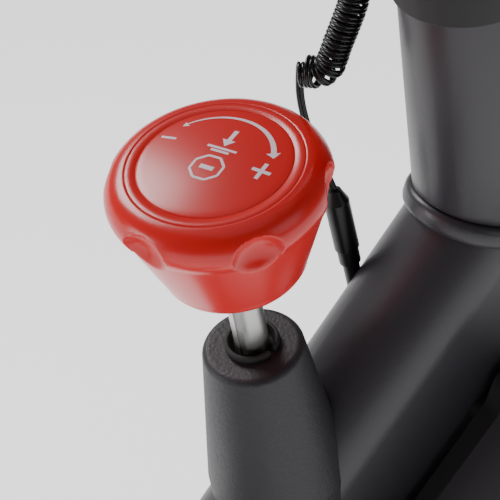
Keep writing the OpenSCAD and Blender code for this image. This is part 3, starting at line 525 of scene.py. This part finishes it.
def even_route(path: Sequence[Vector], gap: float) -> list[Vector]:
    """The path resampled at about that spacing."""
    lengths = [0.0]
    for a, b in zip(path, path[1:]):
        lengths.append(lengths[-1] + (b - a).length)
    count = max(2, round(lengths[-1] / gap))
    made, i = [], 0
    for k in range(count + 1):
        want = lengths[-1] * k / count
        while i < len(path) - 2 and lengths[i + 1] < want:
            i += 1
        span = lengths[i + 1] - lengths[i]
        made.append(path[i].lerp(path[i + 1], (want - lengths[i]) / span if span else 0.0))
    return made


# ---- studio ----


@dataclass
class Studio:
    """Camera, pale floor and soft lights."""

    stand: tuple[float, float, float] = (-0.2133, -0.3021, 0.3388)
    heading: float = 54.93
    elevation: float = 38.81
    roll: float = 0.2
    focal_mm: float = 105.1
    floor_half: float = 14.0
    sky: float = 0.16
    floor_glow: float = 1.3

    def camera(self) -> None:
        """Sets the camera up behind the rider's right shoulder, over the tension knob."""
        data = bpy.data.cameras.new("camera")
        data.lens = self.focal_mm
        data.sensor_width = 36.0
        data.clip_start = 0.01
        data.clip_end = 100.0
        made = bpy.data.objects.new("camera", data)
        bpy.context.scene.collection.objects.link(made)
        turned, raised = math.radians(self.heading), math.radians(self.elevation)
        level = math.cos(raised)
        ahead = Vector((math.cos(turned) * level, math.sin(turned) * level, -math.sin(raised)))
        right = Vector((math.sin(turned), -math.cos(turned), 0.0))
        right = (Matrix.Rotation(-math.radians(self.roll), 3, ahead) @ right).normalized()
        above = right.cross(ahead)
        made.matrix_world = Matrix.Translation(ROD.origin + Vector(self.stand)) @ Matrix(
            (right, above, -ahead)).transposed().to_4x4()
        bpy.context.scene.camera = made

    def lamp(self, name: str, direction: Sequence[float], distance: float, size: float, power: float,
             target: Vector) -> None:
        """Adds one soft square light that faces the target."""
        data = bpy.data.lights.new(name, "AREA")
        data.size = size
        data.energy = power
        made = bpy.data.objects.new(name, data)
        bpy.context.scene.collection.objects.link(made)
        made.location = target + Vector(direction).normalized() * distance
        made.rotation_euler = (target - made.location).to_track_quat("-Z", "Y").to_euler()

    def build(self) -> None:
        """Makes the floor and the lights."""
        floor = Shape().rows([[Vector((x, y, 0.0)) for x in (-self.floor_half, self.floor_half)]
                              for y in (-self.floor_half, self.floor_half)], closed=False, caps=False)
        mesh = bpy.data.meshes.new("floor")
        mesh.from_pydata([tuple(v) for v in floor.verts], [], floor.faces)
        recipe = Recipe("pale_floor")
        recipe.shader.inputs["Base Color"].default_value = (0.90, 0.90, 0.905, 1.0)
        recipe.shader.inputs["Roughness"].default_value = 0.9
        recipe.shader.inputs["Specular IOR Level"].default_value = 0.0
        recipe.shader.inputs["Emission Color"].default_value = (1.0, 1.0, 1.0, 1.0)
        recipe.shader.inputs["Emission Strength"].default_value = self.floor_glow
        mesh.materials.append(recipe.material)
        made = bpy.data.objects.new("floor", mesh)
        bpy.context.scene.collection.objects.link(made)
        world = bpy.data.worlds.new("studio")
        world.use_nodes = True
        world.node_tree.nodes["Background"].inputs["Color"].default_value = (1.0, 1.0, 1.0, 1.0)
        world.node_tree.nodes["Background"].inputs["Strength"].default_value = self.sky
        bpy.context.scene.world = world
        middle = ROD.at(0.02, 0.0, 0.03)
        self.lamp("key_softbox", (-0.12, 0.78, 0.66), 1.25, 0.5, 12.0, middle)
        self.lamp("left_strip", (-0.85, 0.35, 0.12), 1.3, 0.5, 5.0, middle)
        self.lamp("right_fill", (0.35, -0.85, 0.45), 1.9, 1.0, 3.0, middle)
        self.lamp("top_fill", (0.0, 0.0, 1.0), 2.4, 2.0, 4.0, middle)


# ---- cord ----


@dataclass
class CurlyCord:
    """The twin sensor cord: a short lead, a long coil up towards the bars, and a top lead."""

    strand: float = 1.5 * MM
    coil_radius: float = 4.65 * MM
    turn_pitch: float = 3.35 * MM
    points_per_turn: int = 18
    loose_turns: float = 5.0

    # places from the top of the boss, in millimetres, as in the part's source
    lead_route = ((55.4, 28, 25.4), (53, 35, 38), (51.3, 40.5, 49.6), (49.2, 41.5, 60.8), (47.5, 40, 72.2))
    curl_route = (
        (47.5, 40, 72.2), (49.7, 37.8, 72.4), (52, 34.5, 73), (54.3, 32.5, 75.8), (55.4, 31.8, 79.3),
        (56.6, 31.3, 84), (59, 30.3, 92), (61.4, 29.8, 100), (64, 30.5, 112), (67.5, 31.8, 128),
        (72, 33.5, 146), (80, 34.5, 172), (92, 35, 203), (107, 35, 237), (126, 35, 272),
        (147, 35, 307), (162, 35, 330), (168, 35, 340),
    )
    top_route = ((168, 35, 340), (176, 35, 352), (184, 35, 366), (188.5, 35, 380), (187, 35, 392),
                 (180.5, 35, 400.2))

    def route(self, points: Sequence[Sequence[float]]) -> list[Vector]:
        """A smooth route through places given from the top of the boss."""
        return smooth_route([ROD.origin + Vector(p) * MM for p in points], 12)

    def coil(self, spine: list[Vector]) -> tuple[list[Vector], list[Vector]]:
        """Winds the cord round a spine.

        Args:
            spine: the coil's centreline, evenly spaced.

        Returns:
            The cord's own centreline, and the spine's direction at each of its points.
        """
        ways = directions(spine)
        side = ways[0].orthogonal().normalized()
        length = (len(spine) - 1) * (spine[1] - spine[0]).length
        count = round(length / self.turn_pitch * self.points_per_turn)
        sides = []
        for way in ways:
            side = (side - way * side.dot(way)).normalized()
            sides.append(side)
        made, flats = [], []
        turns = length / self.turn_pitch
        for k in range(count + 1):
            spot = (len(spine) - 1) * k / count
            i = min(int(spot), len(spine) - 2)
            t = spot - i
            centre, way = spine[i].lerp(spine[i + 1], t), ways[i].lerp(ways[i + 1], t).normalized()
            first = sides[i].lerp(sides[i + 1], t).normalized()
            angle = 2 * math.pi * turns * k / count
            near_end = min(1.0, 2.5 * k / self.points_per_turn, (count - k) / self.points_per_turn)
            slack = 1.0 + 0.12 * max(0.0, 1.0 - k / (self.loose_turns * self.points_per_turn))
            radius = self.coil_radius * slack * (0.35 + 0.65 * near_end)
            made.append(centre + radius * (math.cos(angle) * first + math.sin(angle) * way.cross(first)))
            flats.append(way)
        return made, flats

    def build(self) -> None:
        lead = even_route(self.route(self.lead_route), 2 * MM)[:-1]
        top = even_route(self.route(self.top_route), 2 * MM)[1:]
        coiled, flats = self.coil(even_route(self.route(self.curl_route), 1 * MM))
        path = lead + coiled + top
        flat_way = Vector((0.60, -0.60, 0.35)).normalized()
        flats = [flat_way] * len(lead) + flats + [ROD.y] * len(top)
        shape, ways = Shape(), directions(path)
        for offset in (-0.5, 0.5):
            rings = []
            for point, way, flat in zip(path, ways, flats):
                wide = (flat - way * flat.dot(way)).normalized()
                thin = way.cross(wide)
                centre = point + wide * offset * self.strand
                rings.append([centre + 0.5 * self.strand * (math.cos(a) * wide + math.sin(a) * thin)
                              for a in turn(8)])
            shape.rows(rings)
        made = shape.piece("curly_cord", CORD_JACKET, "frame", 60.0)
        made.parent = None
        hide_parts("cord_lead", "cord_curl")
        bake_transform(made)
        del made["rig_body"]
        length = sum((b - a).length for a, b in zip(path, path[1:]))
        log.info("curly cord: %.2f m", length)


# ---- tension knob ----


@dataclass
class TensionKnob:
    """The red push-and-turn knob with its printed signs."""

    top: float = 83.3 * MM
    radius: float = 36.0 * MM
    dishes: int = 6
    dish_start: float = -45.0
    dish_sphere: float = 10.0 * MM
    dish_reach: float = 40.5 * MM
    dish_drop: float = 10.5 * MM
    ring_part: float = 0.775
    face_part: float = 0.85
    soft: float = 0.5 * MM
    sides: int = 360
    print_turn: float = 24.0

    def profile(self) -> list[Point]:
        """Half outline from the underside's rim to the middle of the dome, in metres."""
        r, top = self.radius, self.top
        base, crease, rim, ring = top - 43 * MM, top - 13 * MM, top - 8.5 * MM, r * self.ring_part
        low, face = crease + 0.2 * MM, ring * self.face_part
        points = [(r * 0.30, base + 0.4 * MM), (r * 0.59, base), (r * 0.625, base + 0.15 * MM),
                  (r * 0.652, base + 0.75 * MM), (r * 0.668, base + 1.7 * MM)]
        points += [(r * (0.674 + 0.266 * t), base + 2.6 * MM + t * (crease - 0.5 * MM - base - 2.6 * MM))
                   for t in (i / 30 for i in range(31))]
        points += [(r * 0.951, crease - 0.32 * MM), (r * 0.959, crease - 0.05 * MM)]
        points += [(r * (0.961 + 0.039 * math.sin(math.pi / 2 * t)), low + t * (rim - crease - 0.2 * MM))
                   for t in (i / 12 for i in range(13))]
        points += [(ring + (r - ring) * math.cos(a), rim + (top - rim) * math.sin(a))
                   for a in (math.radians(4 * i) for i in range(1, 22))]
        points += [(ring + 0.22 * MM, top), (ring + 0.05 * MM, top - 0.14 * MM),
                   (ring - 0.12 * MM, top - 0.02 * MM), (ring - 0.5 * MM, top + 0.05 * MM),
                   (ring * 0.886, top + 0.12 * MM), (ring * 0.880, top - 0.03 * MM),
                   (ring * 0.873, top + 0.12 * MM), (face, top + 0.3 * MM)]
        points += [(face * (1 - t), self.dome(face * (1 - t))) for t in (i / 14 for i in range(1, 14))]
        return points

    def dome(self, r: float) -> float:
        """Height of the domed face at a radius."""
        edge = self.radius * self.ring_part * self.face_part
        return self.top + 0.3 * MM + 1.15 * MM * (1 - (r / edge) ** 2)

    def dished(self, r: float, angle: float, z: float) -> float:
        """Radius at an angle and height, once the finger dishes are pressed in."""
        step = 2 * math.pi / self.dishes
        off = (angle - math.radians(self.dish_start) + step / 2) % step - step / 2
        room = (self.dish_sphere ** 2 - (self.dish_reach * math.sin(off)) ** 2
                - (z - self.top + self.dish_drop) ** 2)
        if room <= 0:
            return r
        floor = self.dish_reach * math.cos(off) - math.sqrt(room)
        mix = min(1.0, max(0.0, 0.5 + 0.5 * (floor - r) / self.soft))
        return floor * (1 - mix) + r * mix - self.soft * mix * (1 - mix)

    def body(self) -> None:
        """Makes the moulded knob."""
        rings = []
        for r, z in self.profile():
            rings.append([ROD.at(q * math.cos(a), q * math.sin(a), z)
                          for a in turn(self.sides) for q in (self.dished(r, a, z),)])
        made = Shape().rows(rings).piece("tension_knob_shell", KNOB_RED, "knob", 50.0)
        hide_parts("tension_knob")

    def decal(self, name: str, outlines: Sequence[Sequence[Point]]) -> None:
        """Lays thin ink shapes on the dome.

        Args:
            name: the piece's name.
            outlines: strips, each an even number of (x, y) points in millimetres, which are the left
                edge and then the right edge back.
        """
        shape = Shape()
        for outline in outlines:
            half = len(outline) // 2
            left, right = outline[:half], outline[half:][::-1]
            rows = []
            for (x0, y0), (x1, y1) in zip(left, right):
                rows.append([(x0 + (x1 - x0) * t / 4, y0 + (y1 - y0) * t / 4) for t in range(5)])
            shape.rows([[self.on_dome(x, y) for x, y in row] for row in rows], closed=False, caps=False)
        shape.piece(name, KNOB_INK, "knob")

    def on_dome(self, x: float, y: float) -> Vector:
        """The dome's point for millimetres from its middle, a hair above the surface."""
        return ROD.at(x * MM, y * MM, self.dome(math.hypot(x, y) * MM) + 0.05 * MM)

    def bar(self, x: float, y: float, angle: float, length: float, width: float) -> list[Point]:
        """A straight strip's outline about its middle, in millimetres."""
        along, steps = math.radians(angle), 8
        ways = [((k / steps - 0.5) * length) for k in range(steps + 1)]
        left = [(x + w * math.cos(along) - width / 2 * math.sin(along),
                 y + w * math.sin(along) + width / 2 * math.cos(along)) for w in ways]
        right = [(x + w * math.cos(along) + width / 2 * math.sin(along),
                  y + w * math.sin(along) - width / 2 * math.cos(along)) for w in ways[::-1]]
        return left + right

    def head(self, radius: float, angle: float, length: float, width: float, way: float) -> list[Point]:
        """An arrowhead's outline at the end of the arc; way is 1 for anticlockwise."""
        left, right = [], []
        for k in range(5):
            t = k / 4
            a = math.radians(angle) + way * t * length / radius
            w = width / 2 * (1 - t) + 0.02
            left.append(((radius + w) * math.cos(a), (radius + w) * math.sin(a)))
            right.append(((radius - w) * math.cos(a), (radius - w) * math.sin(a)))
        return left + right[::-1]

    def signs(self) -> None:
        """Prints the turning arrow, the minus and plus signs and a push-to-stop picture."""
        left, right = [], []
        for k in range(49):
            t = k / 48
            a = math.radians(80 - 115 * t)
            r, w = 20.9 - 2.7 * t ** 1.3, 0.45 + 1.35 * t
            left.append(((r + w / 2) * math.cos(a), (r + w / 2) * math.sin(a)))
            right.append(((r - w / 2) * math.cos(a), (r - w / 2) * math.sin(a)))
        arc = left + right[::-1]
        tips = [self.head(20.8, 79, 1.9, 2.3, 1), self.head(18.15, -34.4, 2.4, 4.4, -1)]
        self.decal("knob_print_arrow", [arc, *tips])
        self.decal("knob_print_minus", [self.bar(-4.1, 19.2, -60, 5.2, 0.95)])
        x, y = 7.5, -14.3
        self.decal("knob_print_plus", [self.bar(x, y, -66, 6.3, 1.3), self.bar(x, y, 24, 2.5, 1.3),
                                       self.bar(x + 2.2, y + 0.98, 24, 2.3, 1.3),
                                       self.bar(x - 2.2, y - 0.98, 24, 2.3, 1.3)])
        self.decal("knob_print_push", self.push_picture())

    def push_picture(self) -> list[list[Point]]:
        """A down arrow over a button, with an eight-sided stop frame below, drawn upright to the print."""
        up = math.radians(self.print_turn)
        right = up - math.pi / 2

        def at(x: float, y: float) -> Point:
            """Turns print millimetres into knob millimetres."""
            return (x * math.cos(right) + y * math.cos(up) + 1.0,
                    x * math.sin(right) + y * math.sin(up) + 0.6)

        def strip(a: Point, b: Point, width: float, end_width: float | None = None) -> list[Point]:
            """A strip from a to b that may taper."""
            last = width if end_width is None else end_width
            way = Vector((b[0] - a[0], b[1] - a[1])).normalized()
            left, back = [], []
            for k in range(6):
                t = k / 5
                x, y, w = a[0] + (b[0] - a[0]) * t, a[1] + (b[1] - a[1]) * t, (width + (last - width) * t) / 2
                left.append(at(x - way.y * w, y + way.x * w))
                back.append(at(x + way.y * w, y - way.x * w))
            return left + back[::-1]

        shapes = [strip((0, 13.0), (0, 8.2), 1.5), strip((0, 8.2), (0, 5.2), 4.6, 0.1),
                  strip((-5.2, 3.9), (5.2, 3.9), 0.95), strip((-3.2, 2.5), (3.2, 2.5), 0.95)]
        corners = [(5.4 * math.cos(a), -5.2 + 5.4 * math.sin(a))
                   for a in (math.radians(22.5 + 45 * i) for i in range(9))]
        shapes += [strip(a, b, 0.85) for a, b in zip(corners, corners[1:])]
        shapes.append(strip((-2.4, -5.2), (2.4, -5.2), 1.7))
        return shapes

    def build(self) -> None:
        """Makes the knob and its print."""
        self.body()
        self.signs()


@dataclass
class ReturnSpring:
    """The coil spring round the tension rod, inside the main tube."""

    wire: float = 1.1 * MM
    radius: float = 8.4 * MM
    foot: float = -159.7 * MM
    head: float = -105.9 * MM
    turns: int = 9

    def build(self) -> None:
        """Winds the spring with closed ends."""
        steps, length = self.turns * 16, self.head - self.foot - 2 * self.wire
        path = []
        for k in range(steps + 1):
            t = k / steps
            rise = (t - math.sin(4 * math.pi * t) / (4 * math.pi) * 0.7) * length
            a = 2 * math.pi * self.turns * t
            x, y = self.radius * math.cos(a), self.radius * math.sin(a)
            path.append(ROD.at(x, y, self.foot + self.wire + rise))
        made = Shape().tube(path, self.wire, 8).piece("return_spring_coil", SPRING_STEEL, "frame")
        made.parent = None
        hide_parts("return_spring")
        fixed, moved = ROD.at(0, 0, self.foot + 2 * MM), ROD.at(0, 0, self.head - 2 * MM)
        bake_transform(made)
        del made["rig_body"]


# ---- frame ----


@dataclass
class FrameDress:
    """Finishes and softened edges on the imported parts."""

    merge: float = 0.01 * MM
    rounds: int = 3
    sharp_angle: float = 38.0

    def build(self) -> None:
        """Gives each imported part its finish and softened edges."""
        for finish, names in NODE_FINISHES.items():
            for name in names:
                node = frame["nodes"][name]
                node.data.materials.clear()
                node.data.materials.append(finish.material())
                if name in EDGE_MM:
                    self.soften(node, EDGE_MM[name])
                log.info("finish %s on %s", finish.name, name)

    def soften(self, node: bpy.types.Object, width_mm: float) -> None:
        """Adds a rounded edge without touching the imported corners."""
        weld = node.modifiers.new("weld", "WELD")
        weld.merge_threshold = self.merge
        bevel = node.modifiers.new("edge", "BEVEL")
        bevel.width = width_mm * MM
        bevel.segments = self.rounds
        bevel.limit_method = "ANGLE"
        bevel.angle_limit = math.radians(self.sharp_angle)
        bevel.harden_normals = True
        bevel.use_clamp_overlap = True


# ---- small hardware ----


@dataclass
class CapScrews:
    """Domed hexagon-socket screws."""

    sides: int = 32
    front_x: float = 427.5 * MM
    bolt_y: float = 105 * MM

    def screw(self, name: str, axes: Axes, radius: float, height: float, body: str) -> None:
        """One domed cap screw with a hexagon socket, its head standing on the local plane."""
        socket, depth = radius * 0.52, height * 0.6
        profile = [(radius, 0.0), (radius, height * 0.7), (radius * 0.93, height * 0.92),
                   (radius * 0.8, height), (socket * 1.04, height), (socket, height - 0.2 * MM),
                   (socket, height - depth), (0.05 * MM, height - depth - 0.6 * MM)]
        rings = []
        for i, (r, z) in enumerate(profile):
            flat = i in (4, 5, 6)
            rings.append([axes.at(q * math.cos(a), q * math.sin(a), z) for a in turn(self.sides)
                          for q in (self.hexed(r, a) if flat else r,)])
        Shape().rows(rings).piece(name, ZINC, body, 30.0)

    def hexed(self, r: float, angle: float) -> float:
        """Radius of a hexagon of that across-corners radius at an angle."""
        step = math.pi / 3
        return r * math.cos(step / 2) / math.cos((angle % step) - step / 2)

    def build(self) -> None:
        """Puts screws on the crank ends and the stabilisers."""
        crank = Vector(joint("crank_spin")["pos_m"])
        low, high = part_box("crank_axle")
        self.screw("crank_bolt_left", across((crank.x, high.y, crank.z)), 9 * MM, 4 * MM, "crank")
        self.screw("crank_bolt_right", across((crank.x, low.y, crank.z), -1), 9 * MM, 4 * MM, "crank")
        for end in ("front", "rear"):
            low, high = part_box(f"{end}_stabiliser")
            x = (low.x + high.x) / 2 if end == "rear" else self.front_x
            for side in (-1, 1):
                spot = Axes((x, side * self.bolt_y, high.z), (0, 0, 1))
                self.screw(f"{end}_bolt_{'left' if side > 0 else 'right'}", spot, 8 * MM, 5 * MM, "frame")


# ---- saddle ----


@dataclass
class Saddle:
    """A padded cover over a plastic pan, with a centre channel, seams and piping."""

    nose_half: float = 21 * MM
    tail_half: float = 82 * MM
    pan: float = 9 * MM
    swell_cap: float = 7 * MM
    voxel: float = 5 * MM

    def half_width(self, t: float) -> float:
        """Half width at t, from the tail at 0 to the nose at 1."""
        shoulder = 1 / (1 + math.exp((t - 0.44) * 13))
        tail = math.sqrt(max(0.0, 1 - max(0.0, (0.16 - t) / 0.16) ** 2.4))
        nose = math.sqrt(max(0.0, 1 - max(0.0, (t - 0.93) / 0.07) ** 2))
        return (self.nose_half + (self.tail_half - self.nose_half) * shoulder) * max(0.04, tail * nose)

    def loft(self, inset: float, low: float, high: float, name: str, finish: Finish) -> bpy.types.Object:
        """A closed body between two heights above the saddle's underside.

        Args:
            inset: how far its outline stays inside the saddle's.
            low: lowest height.
            high: highest height at the tail.
            name: the piece's name.
            finish: its finish.

        Returns:
            The piece.
        """
        box_low, box_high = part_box("saddle")
        length = box_high.x - box_low.x - 2 * inset
        rings, steps = [], 54
        for i in range(steps + 1):
            t = 0.5 - 0.5 * math.cos(math.pi * i / steps)
            x = box_low.x + inset + t * length
            wide = max(1.5 * MM, self.half_width(t) - inset)
            crown = low + (high - low) * (1 - 0.30 * t + 0.10 * math.sin(math.pi * t))
            ring = []
            for a in turn(44):
                y = wide * math.copysign(abs(math.cos(a)) ** 0.75, math.cos(a))
                lift = math.copysign(abs(math.sin(a)) ** 0.8, math.sin(a))
                z = low + (crown - low) * (0.5 + 0.5 * lift)
                ring.append(Vector((x, y, box_low.z + z)))
            rings.append(ring)
        return Shape().rows(rings).piece(name, finish, "saddle", 50.0)

    def swell(self, pad: bpy.types.Object) -> None:
        """Blows the pad up as cloth and keeps each point's travel under the cap."""
        scene = bpy.context.scene
        remesh = pad.modifiers.new("remesh", "REMESH")
        remesh.mode = "VOXEL"
        remesh.voxel_size = self.voxel
        self.apply(pad)
        rest = [v.co.copy() for v in pad.data.vertices]
        cloth = pad.modifiers.new("cloth", "CLOTH")
        cloth.settings.use_pressure = True
        cloth.settings.uniform_pressure_force = 4.0
        cloth.settings.effector_weights.gravity = 0.0
        cloth.settings.mass = 0.3
        cloth.point_cache.frame_start, cloth.point_cache.frame_end = 1, 20
        for number in range(1, 21):
            scene.frame_set(number)
        self.apply(pad)
        for vertex, start in zip(pad.data.vertices, rest):
            move = vertex.co - start
            if move.length > self.swell_cap:
                vertex.co = start + move.normalized() * self.swell_cap
        scene.frame_set(1)

    def apply(self, pad: bpy.types.Object) -> None:
        """Turns the pad's modifiers into its mesh."""
        bpy.context.view_layer.update()
        graph = bpy.context.evaluated_depsgraph_get()
        mesh = bpy.data.meshes.new_from_object(pad.evaluated_get(graph))
        pad.modifiers.clear()
        pad.data = mesh

    def fit(self, pad: bpy.types.Object) -> None:
        """Presses the channel and the seams in, and keeps the pad inside the saddle's space."""
        low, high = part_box("saddle")
        for vertex in pad.data.vertices:
            co = vertex.co
            t = (co.x - low.x) / (high.x - low.x)
            above = max(0.0, min(1.0, (co.z - low.z - self.pan) / (high.z - low.z - self.pan)))
            channel = math.exp(-(co.y / (8 * MM)) ** 2) * max(0.0, min(1.0, (t - 0.05) * 5, (0.86 - t) * 5))
            co.z -= 5.5 * MM * channel * above ** 2
            seam = math.exp(-((abs(co.y) - 0.62 * self.half_width(t)) / (2.2 * MM)) ** 2)
            co.z -= 1.3 * MM * seam * above ** 2
            co.x = min(max(co.x, low.x), high.x)
            co.z = min(co.z, high.z + 2 * MM)

    def piping(self) -> None:
        """A welt round the joint of cover and pan."""
        low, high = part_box("saddle")
        path = []
        for side in (1, -1):
            for i in range(49) if side > 0 else range(47, 0, -1):
                t = 0.5 - 0.5 * math.cos(math.pi * i / 48)
                wide = self.half_width(t) - 0.5 * MM
                path.append(Vector((low.x + 2 * MM + t * (high.x - low.x - 4 * MM), side * wide,
                                    low.z + self.pan + 1 * MM)))
        Shape().tube(even_route(path + [path[0]], 4 * MM)[:-1], 1.7 * MM, 8, looped=True).piece(
            "saddle_piping", SADDLE_COVER, "saddle", 80.0)

    def build(self) -> None:
        """Makes the pan, the padded cover and the piping."""
        low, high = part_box("saddle")
        self.loft(3 * MM, 0.5 * MM, self.pan * 1.4, "saddle_pan", BLACK_PLASTIC)
        pad = self.loft(4 * MM, self.pan * 0.8, high.z - low.z - 5 * MM, "saddle_pad", SADDLE_COVER)
        self.swell(pad)
        self.fit(pad)
        pad.data.materials.clear()
        pad.data.materials.append(SADDLE_COVER.material())
        pad.data.shade_smooth()
        detail = pad.modifiers.new("subdivide", "SUBSURF")
        detail.levels = detail.render_levels = 1
        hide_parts("saddle")
        self.piping()


# ---- bars and console ----


@dataclass
class Cockpit:
    """Foam grips, bar plugs and the console's screen."""

    bar_r: float = 15 * MM
    foam: float = 3.4 * MM
    bend: float = 45 * MM
    side: float = 105 * MM
    horn_bend: float = 50 * MM
    horn: float = 58 * MM
    bridge: float = 100 * MM
    tilt: float = 48.0

    def centre(self) -> Vector:
        """The middle of the crossbar."""
        low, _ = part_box("handlebar")
        return Vector((low.x + self.bar_r, 0.0, low.z + self.bar_r))

    def reach(self) -> float:
        """How far forward of the crossbar the horns stand."""
        return self.bend + self.side + self.horn_bend

    def sleeve(self, shape: Shape, start: Vector, way: Vector, length: float) -> None:
        """One foam sleeve with rolled ends along a straight stretch of bar."""
        outer = self.bar_r + self.foam
        axes = Axes(start, (0, 0, 1))
        axes.z = way.normalized()
        axes.x = axes.z.orthogonal().normalized()
        axes.y = axes.z.cross(axes.x)
        roll = 3 * MM
        profile = [(self.bar_r + 0.1 * MM, 0.3 * MM)]
        profile += [(outer - roll + roll * math.sin(a), roll - roll * math.cos(a))
                    for a in (math.radians(15 * i) for i in range(1, 7))]
        count = round(length / (5 * MM))
        profile += [(outer - 0.15 * MM * (i % 2), roll + (length - 2 * roll) * i / count)
                    for i in range(1, count)]
        profile += [(outer - roll + roll * math.cos(a), length - roll + roll * math.sin(a))
                    for a in (math.radians(15 * i) for i in range(0, 6))]
        profile.append((self.bar_r + 0.1 * MM, length - 0.3 * MM))
        shape.lathe(axes, profile, 40)

    def grips(self) -> None:
        """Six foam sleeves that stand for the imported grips."""
        middle, half = self.centre(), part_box("handlebar")[1].y - self.bar_r
        shape = Shape()
        for side in (1, -1):
            self.sleeve(shape, middle + Vector((0, side * 40 * MM, 0)), Vector((0, side, 0)),
                        half - self.bend - 42 * MM)
            self.sleeve(shape, middle + Vector((self.bridge + 14 * MM, side * half, 0)), Vector((1, 0, 0)),
                        self.side + self.bend - self.bridge - 16 * MM)
            horn = middle + Vector((self.reach(), side * half, self.horn_bend + 2 * MM))
            self.sleeve(shape, horn, Vector((0, 0, 1)), self.horn - 2.2 * MM)
        made = shape.piece("foam_grips", GRIP_FOAM, "handlebar", 60.0)
        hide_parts("bar_grips")

    def console_axes(self) -> Axes:
        """Local frame of the console: x up its face, z out towards the rider."""
        tilt = math.radians(self.tilt)
        return Axes(self.centre() + Vector((self.bridge, 0, 0)), (-math.sin(tilt), 0, math.cos(tilt)))

    def screen(self) -> None:
        """The display with its digits and a bar scale."""
        axes = self.console_axes()
        face = 34.8 * MM
        pane = self.rounded(66 * MM, 0, 44 * MM, 98 * MM, 5 * MM)
        glass = Shape().prism(axes, pane, face, face + 0.8 * MM)
        glass.piece("console_screen", SCREEN_FACE, "handlebar")
        ink = Shape()
        for y in (-30, -16, 4, 18):
            self.digit(ink, axes, (70 * MM, -y * MM), 16 * MM, 9 * MM, face + 0.95 * MM)
        for i in range(12):
            height = (4 + i % 5 * 2) * MM
            ink.prism(axes, self.rounded(51 * MM + height / 2, (33 - i * 6) * MM, height, 3.4 * MM, 0.4 * MM),
                      face + 0.7 * MM, face + 0.95 * MM)
        ink.piece("console_digits", SCREEN_INK, "handlebar")

    def digit(self, shape: Shape, axes: Axes, centre: Point, tall: float, wide: float, z: float) -> None:
        """A six-bar zero."""
        x, y = centre
        bars = [(end * tall / 2, 0, 1.6 * MM, wide - 2 * MM) for end in (1, -1)]
        bars += [(end * tall / 4, side * wide / 2, tall / 2 - 2 * MM, 1.6 * MM)
                 for end in (1, -1) for side in (1, -1)]
        for dx, dy, along, across_it in bars:
            shape.prism(axes, self.rounded(x + dx, y + dy, along, across_it, 0.5 * MM), z - 0.25 * MM, z)

    def rounded(self, x: float, y: float, along: float, wide: float, r: float) -> list[Point]:
        """Outline of a rounded rectangle about x, y."""
        made = []
        for cx, cy, start in ((1, 1, 0), (-1, 1, 90), (-1, -1, 180), (1, -1, 270)):
            for k in range(5):
                a = math.radians(start + 22.5 * k)
                made.append((x + cx * (along / 2 - r) + r * math.cos(a),
                             y + cy * (wide / 2 - r) + r * math.sin(a)))
        return made

    def plugs(self) -> None:
        """Domed plugs in the bar ends."""
        middle, half = self.centre(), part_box("handlebar")[1].y - self.bar_r
        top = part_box("handlebar")[1].z
        shape = Shape()
        for side in (1, -1):
            axes = Axes((middle.x + self.reach(), side * half, top), (0, 0, 1))
            shape.lathe(axes, [(13 * MM, -6 * MM), (13 * MM, 0), (14.6 * MM, 0.1 * MM), (14.6 * MM, 1.2 * MM),
                               (13 * MM, 2.2 * MM), (8 * MM, 2.9 * MM), (0.5 * MM, 3.1 * MM)])
        shape.piece("bar_end_plugs", BLACK_PLASTIC, "handlebar")

    def build(self) -> None:
        """Makes the cockpit's pieces."""
        self.grips()
        self.screen()
        self.plugs()


# ---- pedals ----


@dataclass
class PedalTrim:
    """Tread ribs on each pedal and the strap round its toe cage."""

    width: float = 92 * MM
    gap: float = 83 * MM

    def side_trim(self, name: str, side: int) -> None:
        """Ribs and strap for one pedal."""
        centre = Vector(joint(f"pedal_{name}_spin")["pos_m"])
        middle = Vector((centre.x, side * (self.gap + self.width / 2), centre.z))
        ribs = Shape()
        for face in (-1, 1):
            for i in range(9):
                y = (i - 4) * 8.5 * MM
                axes = Axes(middle + Vector((-30 * MM, y, face * 10.8 * MM)), (0, 0, face))
                rib = [(0, -1.3 * MM), (6 * MM, -1.3 * MM), (6 * MM, 1.3 * MM), (0, 1.3 * MM)]
                ribs.prism(axes, rib, 0, 1.4 * MM)
        ribs.piece(f"pedal_tread_{name}", PEDAL_NYLON, f"pedal_{name}")
        path = []
        for k in range(41):
            a = math.radians(-58 + 236 * k / 40)
            y, z = 34.5 * MM * math.cos(a), 17.5 * MM + 35 * MM * math.sin(a)
            path.append(middle + Vector((22 * MM, y, z)))
        strap = Shape()
        rings = []
        for point in path:
            rings.append([point + Vector((x, 0, 0)) + (point - middle).normalized() * z
                          for x, z in ((-9 * MM, 0), (9 * MM, 0), (9 * MM, 1.4 * MM), (-9 * MM, 1.4 * MM))])
        strap.rows(rings)
        strap.piece(f"toe_strap_{name}", STRAP_WEBBING, f"pedal_{name}")

    def build(self) -> None:
        """Trims both pedals."""
        self.side_trim("left", 1)
        self.side_trim("right", -1)


def main() -> None:
    """Builds the studio and every sub-assembly in order."""
    logging.basicConfig(level=logging.INFO, format="%(name)s: %(message)s")
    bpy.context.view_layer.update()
    studio = Studio()
    studio.camera()
    for part in (CurlyCord(), TensionKnob(), ReturnSpring(), FrameDress(), CapScrews(), Saddle(), Cockpit(),
                 PedalTrim(), studio):
        log.info("building %s", type(part).__name__)
        part.build()


if __name__ == "__main__":
    main()
